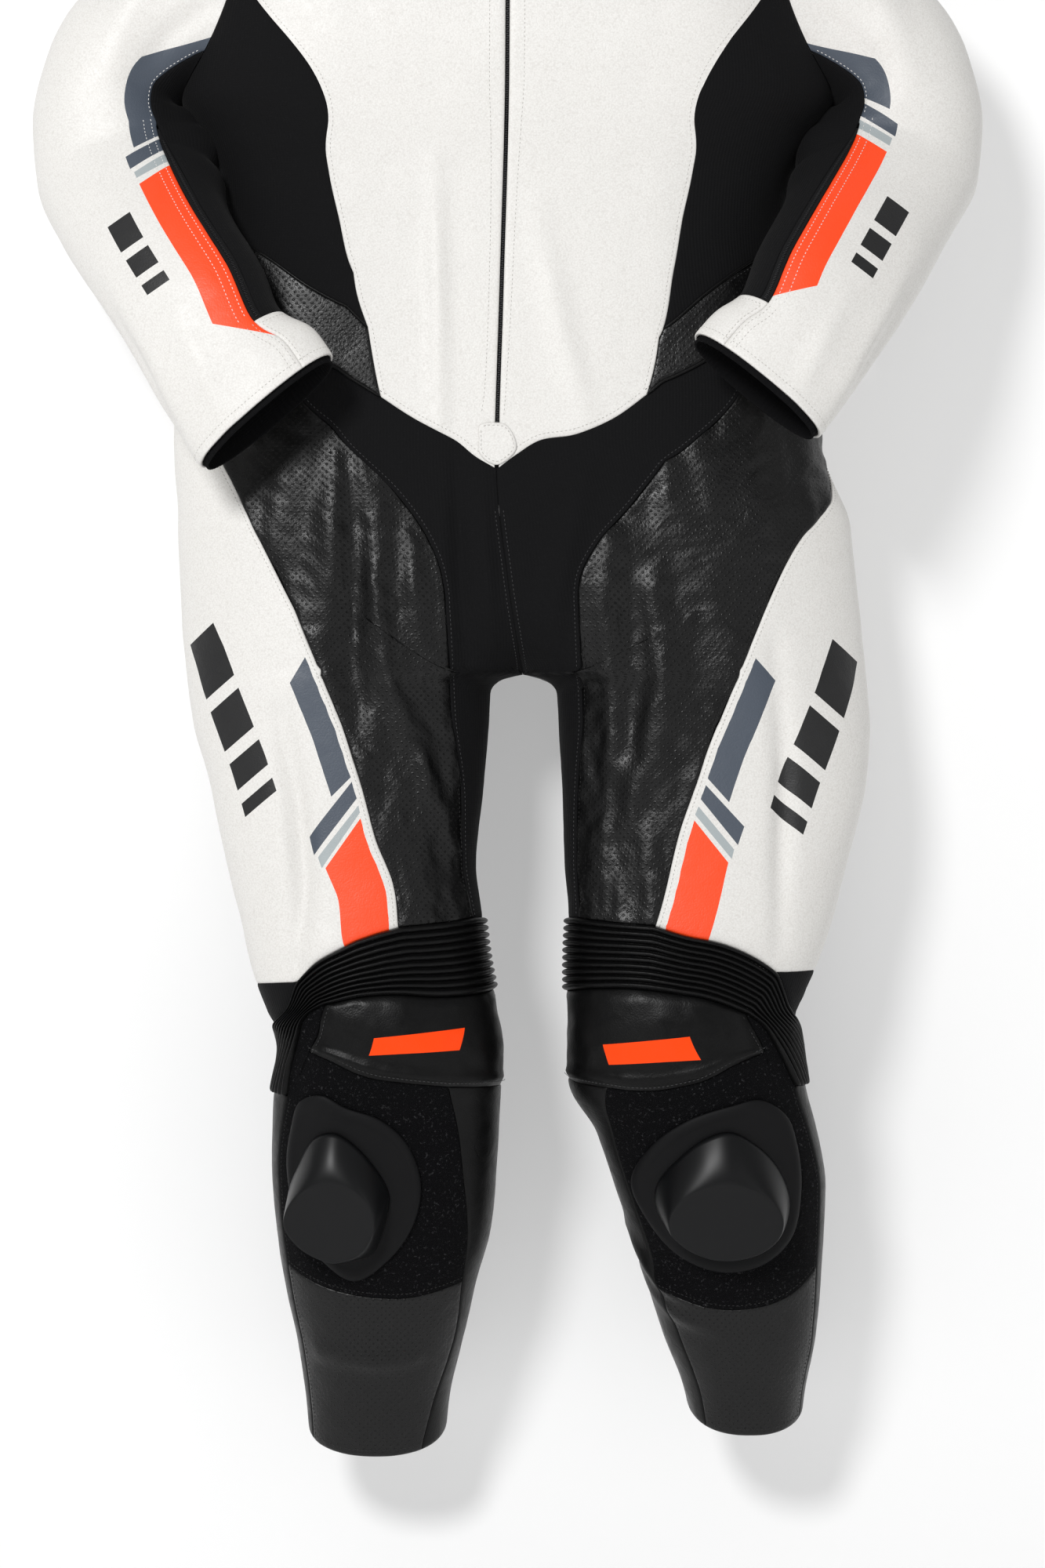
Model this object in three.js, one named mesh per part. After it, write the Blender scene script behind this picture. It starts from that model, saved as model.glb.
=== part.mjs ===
// A one-piece motorcycle race suit, hollow, hanging filled out from its shoulders.
// Millimetres, +Z up, the front faces -Y. The origin is the middle of the shoulder line.
// Names ending in _r are on the wearer's right (-X), names ending in _l on the left (+X).
import * as THREE from 'three';

// Wall thicknesses and the gap that each piece keeps from its neighbour
const LEATHER = 2.4;
const STRETCH = 2.0;
const HALF_SEAM = 0.2;
const LAID_GAP = 0.35;
const ARM_GAP = { top: 0.45 };

// Heights that the pieces share
const NECK_FRONT = -35;
const NECK_SIDE = 12;
const NECK_BACK = 20;
const SHOULDER = -40;
const CROTCH = -722;
const VEE = -550;
const WAIST_BACK = -412;
const KNEE_TOP = -930;
const CROTCH_DEPTH = -12;
const RISE = 80;
const CROTCH_ROUND = 16;

// The armhole is an ellipse on the torso about its side line
const ARMHOLE = { middle: -132.5, reach: 92.5, share: 0.112 };

// Superellipse power of a quarter section, 1 is round and less is fuller
const FULLNESS = 0.88;

// The main zip
const ZIP_GAP = 2.4;
const TAPE_HALF = 8;
const TAPE_THICK = 1.2;

// The collar
const COLLAR_HEIGHT = 36;
const COLLAR_OPENING = 9.5;

// Knee parts
const RIBS = 10;
const RIB_HEIGHT = 4.5;
const PLATE_THICK = 3;
const PLATE_LIFT = 1.4;
const PUCK_HEIGHT = 25;
const PUCK_EDGE = 4;

function table(names, rows) {
  const keys = names.split(' ');
  return rows.map((row) => Object.fromEntries(keys.map((key, i) => [key, row[i]])));
}

// Depth of the front, side and back lines, shared by both sides
const DEPTH = table('z front mid back', [
  [30, -34, 2, 34],
  [12, -44, 0, 42],
  [-8, -53, 0, 50],
  [-35, -66, 0, 62],
  [-80, -80, -2, 74],
  [-130, -88, -3, 82],
  [-180, -90, -4, 84],
  [-240, -86, -5, 82],
  [-300, -79, -6, 76],
  [-360, -76, -6, 75],
  [-430, -77, -4, 82],
  [-500, -81, -3, 91],
  [-560, -85, -3, 96],
  [-640, -90, -6, 94],
  [-722, -94, -13, 84],
  [-780, -96, -20, 70],
  [-830, -98, -26, 57],
  [-880, -101, -33, 44],
  [-930, -107, -41, 30],
  [-975, -114, -48, 19],
  [-1025, -121, -54, 11],
  [-1060, -119, -53, 13],
  [-1100, -106, -44, 25],
  [-1160, -92, -30, 41],
  [-1220, -79, -17, 51],
  [-1290, -61, -3, 57],
  [-1350, -42, 8, 57],
  [-1420, -24, 20, 58],
]);

// Where the centre line lies, as the zip hangs a little to the wearer's right
const CENTRE = table('z x', [
  [30, -4],
  [-209, -5],
  [-400, -10],
  [-550, -14],
  [-640, -5],
  [-722, 8],
]);

// Half width of the torso from the centre line
const HALF_WIDTH = table('z half', [
  [30, 48],
  [12, 72],
  [5, 98],
  [-8, 142],
  [-25, 196],
  [-40, 232],
  [-80, 248],
  [-130, 262],
  [-180, 274],
  [-225, 282],
  [-262, 260],
  [-300, 246],
  [-335, 243],
  [-380, 251],
  [-430, 267],
  [-500, 280],
  [-560, 280],
]);

// Inner and outer lines of each leg, the torso's side above the crotch
const LEG = {
  r: table('z inner outer', [
    [-600, -14, -290],
    [-680, -16, -286],
    [-722, -19, -282],
    [-765, -21, -275],
    [-814, -25, -261],
    [-883, -32, -246],
    [-927, -27, -234],
    [-965, -22, -225],
    [-987, -18, -218],
    [-1010, -14, -209],
    [-1028, -10, -199],
    [-1040, -9, -197],
    [-1086, -11, -205],
    [-1141, -14, -207],
    [-1195, -19, -204],
    [-1245, -32, -197],
    [-1298, -44, -187],
    [-1350, -56, -180],
    [-1420, -62, -176],
  ]),
  l: table('z inner outer', [
    [-600, 30, 292],
    [-687, 33, 301],
    [-733, 37, 305],
    [-765, 39, 307],
    [-816, 42, 303],
    [-883, 44, 286],
    [-927, 47, 274],
    [-967, 46, 260],
    [-994, 46, 248],
    [-1014, 47, 240],
    [-1030, 46, 242],
    [-1069, 47, 248],
    [-1114, 71, 260],
    [-1161, 87, 268],
    [-1226, 109, 266],
    [-1290, 129, 262],
    [-1344, 149, 253],
    [-1420, 162, 246],
  ]),
};

// Hem height, lower at the front than at the back
const HEM = {
  r: { middle: -1374, drop: 20 },
  l: { middle: -1357, drop: 18 },
};

// Sleeve sections from the armhole to the cuff: inner and outer edge from the front,
// the depth of the middle and half the depth
const SLEEVE = {
  r: table('xi zi xo zo y depth', [
    [-287, -225, -237, -40, 0, 60],
    [-290, -229, -314, -80, 0, 62],
    [-292, -233, -366, -124, 0, 63],
    [-291, -238, -402, -184, -2, 62],
    [-287, -245, -415, -246, -7, 60],
    [-276, -264, -408, -308, -17, 57],
    [-258, -298, -384, -358, -48, 51],
    [-235, -342, -350, -408, -86, 47],
    [-210, -384, -321, -452, -112, 43],
    [-192, -424, -291, -503, -128, 38],
    [-166, -438, -279, -522, -132, 36],
    [-149, -461, -259, -554, -138, 33],
    [-143, -469, -253, -562, -140, 33],
  ]),
  l: table('xi zi xo zo y depth', [
    [277, -225, 227, -40, 0, 60],
    [280, -229, 304, -80, 0, 62],
    [282, -233, 356, -124, 0, 63],
    [281, -238, 392, -184, -2, 62],
    [277, -245, 405, -246, -7, 60],
    [266, -264, 398, -302, -17, 57],
    [246, -298, 372, -350, -48, 51],
    [222, -338, 342, -402, -86, 47],
    [203, -374, 314, -446, -112, 43],
    [188, -411, 287, -484, -128, 38],
    [168, -424, 275, -501, -132, 36],
    [150, -444, 254, -529, -138, 33],
    [144, -451, 247, -537, -140, 33],
  ]),
};
for (const rows of Object.values(SLEEVE)) {
  rows.forEach((row, i) => {
    row.ring = i;
  });
}
const CUFF = 11;
const CUFF_INSET = 2;
const SLEEVE_END = 12;

// The armhole's shape blends into the sleeve's own rings down to this one
const ARMHOLE_BLEND = 2.5;

// Smooth interpolation down a table, with no overshoot between its rows
function follow(rows, key, at, place = 'z') {
  const down = rows[0][place] > rows[rows.length - 1][place];
  const sign = down ? -1 : 1;
  let i = 0;
  while (i < rows.length - 2 && sign * rows[i + 1][place] < sign * at) {
    i += 1;
  }
  const slope = (k) => (rows[k + 1][key] - rows[k][key]) / (rows[k + 1][place] - rows[k][place]);
  const tangent = (k) => {
    if (k === 0 || k === rows.length - 1) {
      return slope(Math.min(k, rows.length - 2));
    }
    const before = slope(k - 1);
    const after = slope(k);
    return before * after <= 0 ? 0 : (2 * before * after) / (before + after);
  };
  const width = rows[i + 1][place] - rows[i][place];
  const t = (at - rows[i][place]) / width;
  if (t < 0 || t > 1) {
    const end = t < 0 ? i : i + 1;
    return rows[end][key] + tangent(end) * (at - rows[end][place]);
  }
  const h1 = (1 + 2 * t) * (1 - t) ** 2;
  const h2 = t * (1 - t) ** 2;
  const h3 = t * t * (3 - 2 * t);
  const h4 = t * t * (t - 1);
  return (
    h1 * rows[i][key] + h2 * width * tangent(i) + h3 * rows[i + 1][key] + h4 * width * tangent(i + 1)
  );
}

const quarterCircle = (share) => Math.sqrt(1 - (1 - Math.min(Math.max(share, 0), 1)) ** 2);
const OTHER = { r: 'l', l: 'r' };
const HAND = { r: -1, l: 1 };

// One level section of half the torso, or of one leg
function section(side, z) {
  const centre = follow(CENTRE, 'x', Math.max(z, CROTCH));
  const front = follow(DEPTH, 'front', z);
  const mid = follow(DEPTH, 'mid', z);
  const back = follow(DEPTH, 'back', z);
  const torsoSide = centre + HAND[side] * follow(HALF_WIDTH, 'half', z);
  const blend = THREE.MathUtils.smoothstep(-z, 520, 600);
  const outer = THREE.MathUtils.lerp(torsoSide, follow(LEG[side], 'outer', Math.min(z, -600)), blend);
  if (z > CROTCH) {
    const share = quarterCircle((z - CROTCH) / RISE);
    const frontIn = THREE.MathUtils.lerp(CROTCH_DEPTH, front, share);
    const backIn = THREE.MathUtils.lerp(CROTCH_DEPTH, back, share);
    return { inner: centre, outer, front, mid, back, frontIn, backIn };
  }
  const opened = quarterCircle((CROTCH - z) / CROTCH_ROUND);
  const inner = THREE.MathUtils.lerp(centre, follow(LEG[side], 'inner', z), opened);
  const seam = THREE.MathUtils.lerp(mid, CROTCH_DEPTH, THREE.MathUtils.smoothstep(z, CROTCH - 60, CROTCH));
  return { inner, outer, front, mid, back, frontIn: seam, backIn: seam };
}

// A point of the body: u runs from the centre front or inseam (0) by the front (0.25),
// the side (0.5) and the back (0.75) to the centre back or inseam (1)
function bodyPoint(side, u, z) {
  if (u < 0) {
    return z > CROTCH ? bodyPoint(OTHER[side], -u, z) : bodyPoint(side, u + 1, z);
  }
  if (u > 1) {
    return z > CROTCH ? bodyPoint(OTHER[side], 2 - u, z) : bodyPoint(side, u - 1, z);
  }
  const s = section(side, z);
  const middle = (s.inner + s.outer) / 2;
  const quarter = Math.min(Math.floor(u * 4), 3);
  const t = u * 4 - quarter;
  const rising = Math.sin((t * Math.PI) / 2) ** FULLNESS;
  const falling = Math.cos((t * Math.PI) / 2) ** FULLNESS;
  if (quarter === 0 || quarter === 3) {
    const [edge, far] = quarter === 0 ? [s.frontIn, s.front] : [s.backIn, s.back];
    const away = quarter === 0 ? t : 1 - t;
    const up = quarter === 0 ? rising : falling;
    const along = quarter === 0 ? falling : rising;
    const round = (far - edge) / (far - s.mid);
    const share = (1 - round) * away + round * (1 - along);
    return new THREE.Vector3(s.inner + (middle - s.inner) * share, edge + (far - edge) * up, z);
  }
  const far = quarter === 1 ? s.front : s.back;
  const out = quarter === 1 ? rising : falling;
  const deep = quarter === 1 ? falling : rising;
  return new THREE.Vector3(middle + (s.outer - middle) * out, s.mid + (far - s.mid) * deep, z);
}

function sleevePoint(side, w, t) {
  const get = (key, at) => follow(SLEEVE[side], key, at, 'ring');
  const inner = new THREE.Vector3(get('xi', t), get('y', t), get('zi', t));
  const outer = new THREE.Vector3(get('xo', t), get('y', t), get('zo', t));
  const centre = inner.clone().add(outer).multiplyScalar(0.5);
  const across = outer.clone().sub(inner).multiplyScalar(0.5);
  const before = Math.max(t - 0.5, 0);
  const after = Math.min(t + 0.5, SLEEVE_END);
  const down = new THREE.Vector3(
    (get('xi', after) + get('xo', after) - get('xi', before) - get('xo', before)) / 2,
    get('y', after) - get('y', before),
    (get('zi', after) + get('zo', after) - get('zi', before) - get('zo', before)) / 2,
  ).normalize();
  const forward = new THREE.Vector3(0, -1, 0);
  forward.addScaledVector(down, -forward.dot(down)).normalize();
  const angle = 2 * Math.PI * w;
  const wide = Math.sign(Math.cos(angle)) * Math.abs(Math.cos(angle)) ** FULLNESS;
  const deep = Math.sign(Math.sin(angle)) * Math.abs(Math.sin(angle)) ** FULLNESS;
  const ring = centre.addScaledVector(across, wide).addScaledVector(forward, deep * get('depth', t));
  const blend = THREE.MathUtils.smoothstep(t, 0, ARMHOLE_BLEND);
  return armholePoint(side, w).lerp(ring, blend);
}

function armholeAt(w) {
  const angle = 2 * Math.PI * w;
  return {
    u: 0.5 - ARMHOLE.share * Math.sin(angle),
    z: ARMHOLE.middle + ARMHOLE.reach * Math.cos(angle),
  };
}

function armholePoint(side, w) {
  const { u, z } = armholeAt(w);
  return bodyPoint(side, u, z);
}

// Outward normal of a surface, from small steps on it
function normalOf(point, side, a, b, stepA, stepB) {
  const alongA = point(side, a + stepA, b).sub(point(side, a - stepA, b));
  const alongB = point(side, a, b + stepB).sub(point(side, a, b - stepB));
  return alongA.cross(alongB).normalize();
}

const U_STEP = 0.006;
const Z_STEP = 2;
const W_STEP = 0.01;
const RING_STEP = 0.1;

function bodyNormal(side, u, z) {
  const atCrotch = Math.abs(z - CROTCH) < 1 && (u < 0.01 || u > 0.99);
  if (atCrotch) {
    return new THREE.Vector3(0, 0, -1);
  }
  const lower = z <= CROTCH ? Math.min(z, CROTCH - Z_STEP - 0.5) : Math.max(z, CROTCH + Z_STEP + 0.5);
  return normalOf(bodyPoint, side, u, lower, U_STEP, Z_STEP).multiplyScalar(HAND[side]);
}

function sleeveNormal(side, w, t) {
  const inside = Math.min(Math.max(t, 1.5 * RING_STEP), SLEEVE_END - RING_STEP);
  return normalOf(sleevePoint, side, w, inside, W_STEP, RING_STEP).multiplyScalar(HAND[side]);
}

// Where a point seen from the front lies on the body's front
function frontAt(x, z, wantedSide) {
  const side = wantedSide ?? (x < section('r', z).inner ? 'r' : 'l');
  let low = 0;
  let high = 0.5;
  for (let i = 0; i < 30; i += 1) {
    const half = (low + high) / 2;
    if (HAND[side] * (bodyPoint(side, half, z).x - x) < 0) {
      low = half;
    } else {
      high = half;
    }
  }
  return { side, u: (low + high) / 2, z };
}

// The largest folds, as soft ridges and troughs along lines seen from the front
const FOLDS = [
  { side: 'r', height: 4, width: 9, line: [[-66, -290], [-64, -390], [-62, -512]] },
  { side: 'l', height: 3, width: 12, line: [[20, -330], [40, -430], [62, -505]] },
  { side: 'r', height: 6, width: 12, line: [[-149, -540], [-152, -590], [-148, -640]] },
  { side: 'r', height: 7, width: 11, line: [[-122, -560], [-117, -640], [-104, -730], [-72, -815], [-50, -870]] },
  { side: 'r', height: -6, width: 12, line: [[-135, -600], [-138, -700], [-124, -780]] },
  { side: 'r', height: 5, width: 10, line: [[-82, -625], [-74, -720]] },
  { side: 'r', height: -9, width: 10, line: [[-196, -760], [-182, -830], [-176, -900], [-181, -965]] },
  { side: 'r', height: -6, width: 7, line: [[-48, -545], [-45, -640], [-40, -718]] },
  { side: 'r', height: 4, width: 8, line: [[-26, -560], [-22, -640], [-18, -700]] },
  { side: 'l', height: 6, width: 13, line: [[82, -612], [83, -700], [82, -790]] },
  { side: 'l', height: 6, width: 12, line: [[117, -650], [124, -720], [115, -795], [92, -850]] },
  { side: 'l', height: -5, width: 12, line: [[100, -640], [103, -720], [98, -790]] },
  { side: 'l', height: -7, width: 10, line: [[222, -700], [228, -800], [226, -880], [224, -950]] },
  { side: 'l', height: 5, width: 12, line: [[60, -560], [40, -640], [30, -700]] },
  { side: 'r', height: 5, width: 9, line: [[-165, -1300], [-120, -1308], [-85, -1305]] },
  { side: 'l', height: 5, width: 8, line: [[92, -1195], [125, -1240], [160, -1262]] },
  { side: 'l', height: 4, width: 8, line: [[101, -1232], [140, -1268], [175, -1280]] },
  { side: 'r', height: -6, width: 11, back: true, line: [[0.62, -1000], [0.8, -1012], [0.95, -1005]] },
  { side: 'r', height: -6, width: 11, back: true, line: [[0.6, -1045], [0.8, -1052], [0.96, -1042]] },
  { side: 'l', height: -6, width: 11, back: true, line: [[0.62, -998], [0.8, -1010], [0.95, -1003]] },
  { side: 'l', height: -6, width: 11, back: true, line: [[0.6, -1042], [0.8, -1050], [0.96, -1040]] },
  { side: 'r', height: -8, width: 13, back: true, line: [[0.9, -740], [0.8, -752], [0.68, -745]] },
  { side: 'l', height: -8, width: 13, back: true, line: [[0.9, -742], [0.8, -756], [0.68, -748]] },
];
for (const fold of FOLDS) {
  fold.path = fold.line.map(([across, z]) => {
    const u = fold.back ? across : frontAt(across, z, fold.side).u;
    return bodyPoint(fold.side, u, z);
  });
}

function foldHeight(side, point) {
  let height = 0;
  for (const fold of FOLDS) {
    if (fold.side !== side) {
      continue;
    }
    let nearest = Infinity;
    let share = 0;
    for (let i = 0; i < fold.path.length - 1; i += 1) {
      const stretch = new THREE.Line3(fold.path[i], fold.path[i + 1]);
      const t = stretch.closestPointToPointParameter(point, true);
      const distance = stretch.at(t, new THREE.Vector3()).distanceTo(point);
      if (distance < nearest) {
        nearest = distance;
        share = (i + t) / (fold.path.length - 1);
      }
    }
    const taper = Math.sin(Math.PI * Math.min(Math.max(share, 0.08), 0.92)) ** 0.6;
    height += fold.height * taper * Math.exp(-((nearest / fold.width) ** 2));
  }
  return height;
}

// A node of cloth: its place on the surface, its point in space and its normal
function bodyNode(side, u, z) {
  const normal = bodyNormal(side, u, z);
  const base = bodyPoint(side, u, z);
  const point = base.clone().addScaledVector(normal, foldHeight(side, base));
  return { a: u, b: z, point, normal };
}

function sleeveNode(side, w, t) {
  return { a: w, b: t, point: sleevePoint(side, w, t), normal: sleeveNormal(side, w, t) };
}

// A seam as a row of nodes. Controls are [u, z], or [x, z, 'x'] as seen from the front
const U_LENGTH = 640;

function seamPlaces(side, controls, count, crowding = 1) {
  const places = controls.map(([across, z, kind]) => {
    const u = kind === 'x' ? frontAt(across, z, side).u : across;
    return new THREE.Vector3(u * U_LENGTH, z, 0);
  });
  const curve = new THREE.CatmullRomCurve3(places, false, 'centripetal');
  curve.arcLengthDivisions = 400;
  const nodes = [];
  for (let i = 0; i <= count; i += 1) {
    const place = curve.getPointAt((i / count) ** crowding);
    nodes.push([place.x / U_LENGTH, place.y]);
  }
  return nodes;
}

function seam(side, controls, count, crowding) {
  return seamPlaces(side, controls, count, crowding).map(([u, z]) => bodyNode(side, u, z));
}

// Splits one long seam at chosen places, so that its stretches share one smooth curve
function stretches(side, controls, starts, counts) {
  const fine = seamPlaces(side, controls, 400);
  const at = [0, ...starts.map((u) => fine.findIndex(([place]) => place >= u)), 400];
  return counts.map((count, k) => {
    const nodes = [];
    for (let i = 0; i <= count; i += 1) {
      const place = at[k] + ((at[k + 1] - at[k]) * i) / count;
      const low = Math.min(Math.floor(place), 399);
      const [u0, z0] = fine[low];
      const [u1, z1] = fine[low + 1];
      const t = place - low;
      nodes.push(bodyNode(side, u0 + (u1 - u0) * t, z0 + (z1 - z0) * t));
    }
    return nodes;
  });
}

const join = (...parts) => parts.flatMap((part, i) => (i ? part.slice(1) : part));
const reversed = (nodes) => [...nodes].reverse();
const shifted = (nodes, change) => nodes.map((node) => ({ ...node, a: change(node.a) }));
const last = (nodes) => nodes[nodes.length - 1];

// Sets a row's ends onto the nodes of its neighbours
function between(first, nodes, end) {
  const row = [...nodes];
  if (first) {
    row[0] = { ...first, a: row[0].a, b: row[0].b };
  }
  if (end) {
    row[row.length - 1] = { ...end, a: last(row).a, b: last(row).b };
  }
  return row;
}

// More nodes on the straight stretches between a row's nodes
function refined(nodes, count) {
  const row = [];
  for (let i = 0; i <= count; i += 1) {
    const place = (i * (nodes.length - 1)) / count;
    const low = Math.min(Math.floor(place), nodes.length - 2);
    const t = place - low;
    const [p, q] = [nodes[low], nodes[low + 1]];
    row.push({
      a: p.a + (q.a - p.a) * t,
      b: p.b + (q.b - p.b) * t,
      point: p.point.clone().lerp(q.point, t),
      normal: p.normal.clone().lerp(q.normal, t).normalize(),
    });
  }
  return row;
}

// Fills a four-sided piece with nodes on its surface
function lattice({ top, bottom, left, right }, place, passes) {
  const columns = top.length - 1;
  const rows = left.length - 1;
  if (bottom.length !== top.length || right.length !== left.length) {
    throw new Error(`sides of ${top.length}/${bottom.length} and ${left.length}/${right.length} nodes`);
  }
  const grid = [];
  for (let i = 0; i <= columns; i += 1) {
    const s = i / columns;
    grid.push([]);
    for (let j = 0; j <= rows; j += 1) {
      const t = j / rows;
      const coons = (key) =>
        (1 - t) * top[i][key] + t * bottom[i][key] + (1 - s) * left[j][key] + s * right[j][key]
        - (1 - s) * (1 - t) * top[0][key] - s * (1 - t) * top[columns][key]
        - (1 - s) * t * bottom[0][key] - s * t * bottom[columns][key];
      grid[i].push({ a: coons('a'), b: coons('b') });
    }
  }
  for (let pass = 0; pass < passes; pass += 1) {
    for (let i = 1; i < columns; i += 1) {
      for (let j = 1; j < rows; j += 1) {
        for (const key of ['a', 'b']) {
          grid[i][j][key] =
            (grid[i - 1][j][key] + grid[i + 1][j][key] + grid[i][j - 1][key] + grid[i][j + 1][key]) / 4;
        }
      }
    }
  }
  return grid.map((column, i) =>
    column.map((node, j) => {
      if (j === 0) return top[i];
      if (j === rows) return bottom[i];
      if (i === 0) return left[j];
      if (i === columns) return right[j];
      return place(node.a, node.b);
    }),
  );
}

// Moves the edge of a lattice inwards, by each side's own gap, and mitres its corners
function trimmed(grid, gaps) {
  const columns = grid.length - 1;
  const rows = grid[0].length - 1;
  const edge = [];
  for (let i = 0; i < columns; i += 1) edge.push([i, 0, gaps.top]);
  for (let j = 0; j < rows; j += 1) edge.push([columns, j, gaps.right]);
  for (let i = columns; i > 0; i -= 1) edge.push([i, rows, gaps.bottom]);
  for (let j = rows; j > 0; j -= 1) edge.push([0, j, gaps.left]);
  let facing = 0;
  for (let i = 0; i < columns; i += 1) {
    for (let j = 0; j < rows; j += 1) {
      const { point, normal } = grid[i][j];
      const across = grid[i + 1][j].point.clone().sub(point);
      facing += across.cross(grid[i][j + 1].point.clone().sub(point)).dot(normal);
    }
  }
  const turn = Math.sign(facing);
  const moved = grid.map((column) => column.map((node) => ({ ...node })));
  edge.forEach(([i, j, gap], k) => {
    const [pi, pj, before] = edge[(k + edge.length - 1) % edge.length];
    const [ni, nj] = edge[(k + 1) % edge.length];
    const node = grid[i][j];
    const inward = (from, to) =>
      node.normal.clone().cross(to.point.clone().sub(from.point)).multiplyScalar(turn).normalize();
    const m1 = inward(grid[pi][pj], node);
    const m2 = inward(node, grid[ni][nj]);
    const c = Math.max(m1.dot(m2), -0.9);
    const shift = new THREE.Vector3();
    if (c > 0.995) {
      shift.copy(m1).add(m2).multiplyScalar((before + gap) / 4);
    } else {
      shift.addScaledVector(m1, (before - c * gap) / (1 - c * c));
      shift.addScaledVector(m2, (gap - c * before) / (1 - c * c));
    }
    moved[i][j].point = node.point.clone().add(shift);
  });
  return moved;
}

function toMesh(name, vertices, triangles, material) {
  let volume = 0;
  for (const [a, b, c] of triangles) {
    volume += vertices[a].dot(vertices[b].clone().cross(vertices[c]));
  }
  const faces = volume < 0 ? triangles.map(([a, b, c]) => [a, c, b]) : triangles;
  const geometry = new THREE.BufferGeometry();
  geometry.setAttribute('position', new THREE.Float32BufferAttribute(vertices.flatMap((v) => v.toArray()), 3));
  geometry.setIndex(faces.flat());
  geometry.computeVertexNormals();
  const mesh = new THREE.Mesh(geometry, material);
  mesh.name = name;
  return mesh;
}

// Makes a wall from an outer and an inner sheet of points, each a list of columns.
// The inner sheet may have fewer rows than the outer one
function wallMesh(name, outer, inner, material, ring = false) {
  const vertices = [...outer.flat(), ...inner.flat()];
  const columns = outer.length - (ring ? 0 : 1);
  const outerRows = outer[0].length - 1;
  const innerRows = inner[0].length - 1;
  const start = outer.flat().length;
  const o = (i, j) => (i % outer.length) * (outerRows + 1) + j;
  const n = (i, j) => start + (i % inner.length) * (innerRows + 1) + j;
  const triangles = [];
  for (let i = 0; i < columns; i += 1) {
    for (let j = 0; j < outerRows; j += 1) {
      triangles.push([o(i, j), o(i, j + 1), o(i + 1, j + 1)], [o(i, j), o(i + 1, j + 1), o(i + 1, j)]);
    }
    for (let j = 0; j < innerRows; j += 1) {
      triangles.push([n(i, j), n(i + 1, j + 1), n(i, j + 1)], [n(i, j), n(i + 1, j), n(i + 1, j + 1)]);
    }
    triangles.push([o(i, 0), o(i + 1, 0), n(i + 1, 0)], [o(i, 0), n(i + 1, 0), n(i, 0)]);
    triangles.push([o(i, outerRows), n(i + 1, innerRows), o(i + 1, outerRows)]);
    triangles.push([o(i, outerRows), n(i, innerRows), n(i + 1, innerRows)]);
  }
  if (!ring) {
    for (const [i, flip] of [[0, false], [columns, true]]) {
      let a = 0;
      let b = 0;
      while (a < outerRows || b < innerRows) {
        const onOuter = b === innerRows || (a < outerRows && (a + 1) * innerRows <= (b + 1) * outerRows);
        const triangle = onOuter ? [o(i, a), n(i, b), o(i, a + 1)] : [o(i, a), n(i, b), n(i, b + 1)];
        triangles.push(flip ? [triangle[0], triangle[2], triangle[1]] : triangle);
        if (onOuter) {
          a += 1;
        } else {
          b += 1;
        }
      }
    }
  }
  return toMesh(name, vertices, triangles, material);
}

const PASSES = 4;
const NO_GAPS = { top: HALF_SEAM, bottom: HALF_SEAM, left: HALF_SEAM, right: HALF_SEAM };

// One cut piece of cloth, with an optional relief over a plain inside
function panel(name, sides, place, thick, material, options = {}) {
  const grid = trimmed(lattice(sides, place, options.passes ?? PASSES), { ...NO_GAPS, ...options.gaps });
  const columns = grid.length - 1;
  const rows = grid[0].length - 1;
  const step = options.relief ? options.relief.step : 1;
  const outer = grid.map((column, i) =>
    column.map((node, j) => {
      const lift = options.relief ? options.relief.height(i / columns, j / rows) : 0;
      return node.point.clone().addScaledVector(node.normal, lift);
    }),
  );
  const inner = grid.map((column) =>
    column
      .filter((node, j) => j % step === 0)
      .map((node) => node.point.clone().addScaledVector(node.normal, -thick)),
  );
  return wallMesh(name, outer, inner, material);
}

const finish = (color, roughness) => new THREE.MeshStandardMaterial({ color, roughness, metalness: 0 });
const WHITE_LEATHER = finish('#e9e7e3', 0.5);
const BLACK_LEATHER = finish('#1b1b1d', 0.5);
const PERFORATED = finish('#202022', 0.52);
const BLACK_STRETCH = finish('#232326', 0.9);
const LOOP_CLOTH = finish('#161617', 0.98);
const PUCK_PLASTIC = finish('#101012', 0.4);
const ZIP_TAPE = finish('#121213', 0.85);
const ZIP_METAL = new THREE.MeshStandardMaterial({ color: '#2b2b2d', roughness: 0.35, metalness: 0.8 });

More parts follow.
